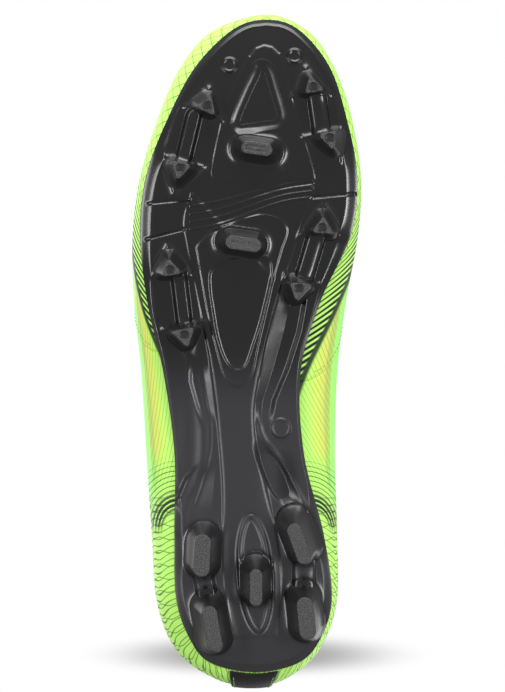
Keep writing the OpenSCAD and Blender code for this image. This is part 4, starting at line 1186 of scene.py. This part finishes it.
# %% Arithmetic on shader sockets
class Wire:
    def __init__(self, tree, socket):
        self.tree, self.socket = tree, socket

    def math(self, operation, *others):
        node = self.tree.nodes.new("ShaderNodeMath")
        node.operation = operation
        for slot_number, value in enumerate((self,) + others):
            if isinstance(value, Wire):
                self.tree.links.new(value.socket, node.inputs[slot_number])
            else:
                node.inputs[slot_number].default_value = value
        return Wire(self.tree, node.outputs[0])

    def __add__(self, other): return self.math("ADD", other)
    def __radd__(self, other): return self.math("ADD", other)
    def __sub__(self, other): return self.math("SUBTRACT", other)
    def __rsub__(self, other): return (self * -1).math("ADD", other)
    def __mul__(self, other): return self.math("MULTIPLY", other)
    def __rmul__(self, other): return self.math("MULTIPLY", other)
    def __truediv__(self, other): return self.math("DIVIDE", other)
    def fract(self): return self.math("FRACT")
    def absolute(self): return self.math("ABSOLUTE")
    def lowest(self, other): return self.math("MINIMUM", other)
    def highest(self, other): return self.math("MAXIMUM", other)
    def wave(self): return self.math("SINE")

    def step(self, start, stop):
        """0 before start, 1 after stop, soft between; start may be the larger."""
        node = self.tree.nodes.new("ShaderNodeMapRange")
        node.interpolation_type = "SMOOTHSTEP"
        swap = start > stop
        node.inputs["From Min"].default_value = min(start, stop)
        node.inputs["From Max"].default_value = max(start, stop)
        node.inputs["To Min"].default_value = 1 if swap else 0
        node.inputs["To Max"].default_value = 0 if swap else 1
        self.tree.links.new(self.socket, node.inputs["Value"])
        return Wire(self.tree, node.outputs["Result"])

    def lines(self, pitch, width, soft=0.12):
        """Parallel lines: 1 on a line. width may be a wire, as a share of the pitch."""
        saw = ((self / pitch).fract() - 0.5).absolute() * 2
        edge = 1 - width
        return ((saw - edge) / soft + 0.5).lowest(1).highest(0)


class Paint:
    """One material and the sources that feed it."""
    def __init__(self, name, base, rough, specular=0.5):
        self.material = bpy.data.materials.new(name)
        self.material.use_nodes = True
        self.tree = self.material.node_tree
        self.surface = self.tree.nodes["Principled BSDF"]
        self.surface.inputs["Base Color"].default_value = (*base, 1)
        self.surface.inputs["Roughness"].default_value = rough
        self.surface.inputs["Specular IOR Level"].default_value = specular
        self.spot = None

    def number(self, name):
        node = self.tree.nodes.new("ShaderNodeAttribute")
        node.attribute_name = name
        return Wire(self.tree, node.outputs["Fac"])

    def where(self):
        if self.spot is None:
            self.spot = self.tree.nodes.new("ShaderNodeTexCoord")
        return self.spot.outputs["Object"]

    def noise(self, scale, detail=3, roughness=0.5):
        node = self.tree.nodes.new("ShaderNodeTexNoise")
        node.inputs["Scale"].default_value = scale
        node.inputs["Detail"].default_value = detail
        node.inputs["Roughness"].default_value = roughness
        self.tree.links.new(self.where(), node.inputs["Vector"])
        return Wire(self.tree, node.outputs["Fac"])

    def cells(self, scale):
        node = self.tree.nodes.new("ShaderNodeTexVoronoi")
        node.inputs["Scale"].default_value = scale
        self.tree.links.new(self.where(), node.inputs["Vector"])
        return Wire(self.tree, node.outputs["Distance"])

    def blend(self, share, a, b):
        node = self.tree.nodes.new("ShaderNodeMix")
        node.data_type = "RGBA"
        sockets = {s.identifier: s for s in node.inputs}
        self.tree.links.new(share.socket, sockets["Factor_Float"])
        for key, value in (("A_Color", a), ("B_Color", b)):
            if isinstance(value, tuple):
                sockets[key].default_value = (*value, 1)
            else:
                self.tree.links.new(value, sockets[key])
        return next(s for s in node.outputs if s.identifier == "Result_Color")

    def colour(self, socket):
        self.tree.links.new(socket, self.surface.inputs["Base Color"])

    def rough(self, wire):
        self.tree.links.new(wire.socket, self.surface.inputs["Roughness"])

    def bump(self, wire, height):
        node = self.tree.nodes.new("ShaderNodeBump")
        node.inputs["Distance"].default_value = height * MM
        node.inputs["Strength"].default_value = 1.0
        self.tree.links.new(wire.socket, node.inputs["Height"])
        self.tree.links.new(node.outputs[0], self.surface.inputs["Normal"])


PAINTS = {}

# %% Plate and studs: black polyamide, polished in the forefoot and satin in the waist
plate_paint = Paint("plate_black_plastic", (0.02, 0.02, 0.022), 0.3, specular=0.55)
shine = plate_paint.number("gloss")
blast = plate_paint.noise(1400, 3)
plate_paint.colour(plate_paint.blend(shine, (0.026, 0.0255, 0.030), (0.0062, 0.0062, 0.0068)))
plate_paint.rough(0.43 - shine * 0.24 + blast * 0.05)
plate_paint.bump(blast * (1 - shine), 0.03)
PAINTS["plate"] = plate_paint

stud_paint = Paint("stud_black_plastic", (0.008, 0.008, 0.009), 0.2, specular=0.55)
worn = stud_paint.number("tip").step(0.5, 0.95)
grain = stud_paint.noise(1900, 4, 0.7)
stud_paint.colour(stud_paint.blend(worn, (0.014, 0.014, 0.015), stud_paint.blend(
    grain.step(0.46, 0.58), (0.010, 0.010, 0.011), (0.075, 0.075, 0.078))))
stud_paint.rough(0.3 + worn * 0.2)
stud_paint.bump(grain * worn, 0.3)
PAINTS["stud"] = stud_paint

# %% Printed knit: neon ground with ink lines that change along the shoe
knit = Paint("printed_knit_neon", (0.55, 1.0, 0.17), 0.55, specular=0.3)
way, climb, reach = knit.number("way"), knit.number("climb"), knit.number("reach")
side_sign, along = knit.number("side"), knit.number("along")
medial = side_sign.step(-0.5, 0.5)
wobble = knit.noise(60, 2) - 0.5
# the dark diagonal, reaching the sole's edge further back on the inner side
diagonal = along - (138 - medial * 15) - reach * (49 + medial * 5)
dark_band = diagonal.step(-9, -4) * diagonal.step(3.5, 0)
slant = along - reach * 12
ink_share = 0.20 + diagonal.step(46, 0) * 0.38
slant_lines = slant.lines(2.9, ink_share, 0.18) * diagonal.step(-3, 1) * diagonal.step(58, 40)
# zigzag mesh of the forefoot
zig = ((climb / 6.4).fract() - 0.5).absolute() * 2
hatch = (way + zig * 3.2).lines(6.2, 0.085, 0.06).highest((way - zig * 3.2).lines(6.2, 0.085, 0.06))
hatch = hatch * diagonal.step(34, 50)
# fan of fine lines behind the diagonal
fan = reach * 15 + along * (0.30 + medial * 0.18)
panel = reach.step(0.80, 0.88)
fan_lines = fan.lines(1.75, 0.2, 0.16) * along.step(74, 86) * diagonal.step(-4, -9) * (1 - panel)
# arcs over the fan, and the heel's waves
arc_way = ((along - 60) * (along - 60) + reach * reach * 330).math("SQRT")
arcs = arc_way.lines(2.1, 0.2, 0.18) * arc_way.step(9, 12) * arc_way.step(35, 27) * along.step(58, 66)
wedge = arc_way.lines(2.1, 0.72, 0.2) * arc_way.step(8, 12) * arc_way.step(21, 15) * along.step(58, 66)
heel_zone = along.step(80, 70)
sway = (climb * 0.42 + way * 0.05).wave() * 0.5 + wobble * 1.1
heel_lines = (way + sway + reach * 2.4).lines(2.8, 0.15,
                                              0.12).highest((way - sway - reach * 2.0).lines(5.6, 0.07, 0.06))
heel_lines = heel_lines * heel_zone
heel_ink = (way + sway + reach * 2.4).lines(2.8, 0.30, 0.2) * (reach + wobble).step(0.42,
                                                                                    0.7) * reach.step(1.5,
                                                                                                      1.1)
heel_ink = heel_ink * heel_zone * (0.45 + (way * 0.7 + climb * 0.5).wave() * 0.45)
neon, lighter = (0.55, 1.0, 0.185), (0.36, 1.0, 0.19)
sun, orange, navy = (0.76, 0.86, 0.15), (0.98, 0.60, 0.24), (0.006, 0.014, 0.014)
fan_zone = along.step(84, 100) * diagonal.step(-2, -12)
tone = knit.blend(fan_zone * reach.step(0.15, 0.6) * (1 - panel), neon, sun)
tone = knit.blend(fan_zone * reach.step(0.50, 0.8) * (1 - panel) * 0.30, tone, orange)
tone = knit.blend(panel * along.step(60, 80) * diagonal.step(0, -8) * 0.85, tone, lighter)
# painted shade: a darker green band along the fold between the side and the lighter collar panel
painted_fold_shade = reach.step(0.66, 0.72) * reach.step(0.86, 0.80) * along.step(72, 84) * diagonal.step(-2, -10)
tone = knit.blend(painted_fold_shade * 0.45, tone, (0.22, 0.60, 0.09))
instep = (climb + along * 0.42 + (along * 0.05).wave() * 2.0).lines(3.0, 0.22, 0.2)
tone = knit.blend(instep * reach.step(0.95, 1.6) * diagonal.step(2, -8) * 0.5, tone, (0.20, 0.66, 0.08))
tone = knit.blend(fan_lines * 0.62, tone, (0.13, 0.52, 0.05))
tone = knit.blend(hatch * 0.9, tone, (0.07, 0.24, 0.03))
tone = knit.blend(heel_lines * 0.8, tone, (0.05, 0.20, 0.02))
tone = knit.blend(heel_ink.highest(arcs).lowest(1).highest(0) * 0.85, tone, (0.015, 0.04, 0.012))
tone = knit.blend(slant_lines.highest(dark_band * 0.96).highest(wedge * 0.92), tone, navy)
knit.colour(tone)
loops = (way * 9.0).wave() * (climb * 9.0 + (way * 9.0).wave()).wave()
knit.bump(loops + knit.noise(900, 2), 0.05)
PAINTS["printed_knit"] = knit

# %% Fabrics inside and on the tongue
def woven(name, colour, dark, scale, rough, depth):
    paint = Paint(name, colour, rough, specular=0.25)
    way, climb = paint.number("way"), paint.number("climb")
    weave = (way * scale).wave() * (climb * scale).wave()
    paint.colour(paint.blend((weave * 0.5 + paint.noise(300, 2) * 0.6).lowest(1).highest(0), dark, colour))
    paint.bump(weave, depth)
    return paint


PAINTS["lining"] = woven("lining_charcoal_knit", (0.075, 0.080, 0.085), (0.03, 0.032, 0.035), 5.2, 0.85, 0.12)
PAINTS["tongue_knit"] = woven("tongue_green_knit", (0.36, 0.92, 0.13), (0.16, 0.55, 0.06), 4.4, 0.7, 0.14)
PAINTS["tongue_lining"] = woven("tongue_grey_mesh", (0.10, 0.105, 0.11), (0.035, 0.037, 0.04), 4.0, 0.85,
                                0.14)
PAINTS["lace_band"] = woven("lace_band_green", (0.24, 0.74, 0.10), (0.12, 0.46, 0.05), 6.0, 0.42, 0.05)
PAINTS["heel_strip"] = woven("heel_strip_black", (0.016, 0.016, 0.018), (0.007, 0.007, 0.008), 3.4, 0.5, 0.06)

# %% The plain ones
binding = Paint("binding_black_tape", (0.018, 0.019, 0.021), 0.65, specular=0.3)
binding.bump((binding.number("length") * 7).wave() + (binding.number("turn") * 40).wave(), 0.06)
PAINTS["binding"] = binding
lace_paint = Paint("lace_black_braid", (0.02, 0.022, 0.025), 0.62, specular=0.3)
strand = (lace_paint.number("length") * 3.4 + lace_paint.number("turn") * 12.566).wave()
strand = strand * (lace_paint.number("length") * 3.4 - lace_paint.number("turn") * 12.566).wave()
lace_paint.colour(lace_paint.blend(strand * 0.5 + 0.5, (0.008, 0.009, 0.01), (0.045, 0.048, 0.052)))
lace_paint.bump(strand, 0.16)
PAINTS["lace"] = lace_paint
tip_paint = Paint("lace_tip_plastic", (0.36, 0.37, 0.39), 0.22)
tip_paint.bump(tip_paint.noise(300, 1), 0.03)
PAINTS["lace_tip"] = tip_paint
rim_paint = Paint("eyelet_rim_dark", (0.02, 0.03, 0.02), 0.35)
rim_paint.rough(0.3 + rim_paint.noise(500, 1) * 0.2)
PAINTS["eyelet_rim"] = rim_paint
thread = Paint("thread_green", (0.18, 0.52, 0.08), 0.6, specular=0.3)
thread.bump(thread.noise(2500, 1), 0.04)
PAINTS["thread"] = thread
foam_paint = Paint("foam_open_cell", (0.62, 0.58, 0.42), 0.9, specular=0.1)
foam_paint.bump(foam_paint.cells(900), 0.3)
PAINTS["foam"] = foam_paint
stiff_paint = Paint("stiffener_fibre", (0.66, 0.60, 0.47), 0.8, specular=0.2)
fibre = stiff_paint.noise(700, 4)
stiff_paint.colour(stiff_paint.blend(fibre, (0.52, 0.46, 0.34), (0.74, 0.69, 0.56)))
PAINTS["stiffener"] = stiff_paint
board_paint = Paint("board_fibre", (0.60, 0.56, 0.48), 0.85, specular=0.2)
board_paint.colour(board_paint.blend(board_paint.noise(450, 4), (0.48, 0.43, 0.35), (0.72, 0.69, 0.62)))
PAINTS["board"] = board_paint
filler_paint = Paint("filler_cork", (0.36, 0.22, 0.12), 0.9, specular=0.1)
filler_paint.colour(filler_paint.blend(filler_paint.cells(420).step(0.2, 0.7), (0.44, 0.28, 0.15),
                                       (0.20, 0.11, 0.05)))
PAINTS["filler"] = filler_paint
insole = Paint("sockliner_textile", (0.03, 0.032, 0.035), 0.88, specular=0.15)
dots = insole.cells(330)
insole.colour(insole.blend(dots.step(0.15, 0.45), (0.018, 0.019, 0.021), (0.055, 0.058, 0.062)))
insole.bump(dots, 0.2)
PAINTS["sockliner"] = insole

# %% Each piece wears the material of its slot
for piece_name, worn_name in WEARS.items():
    mesh = bpy.data.objects[piece_name].data
    mesh.materials.clear()
    mesh.materials.append(PAINTS[worn_name].material)
print(len(WEARS), "pieces,", len(PAINTS), "materials")
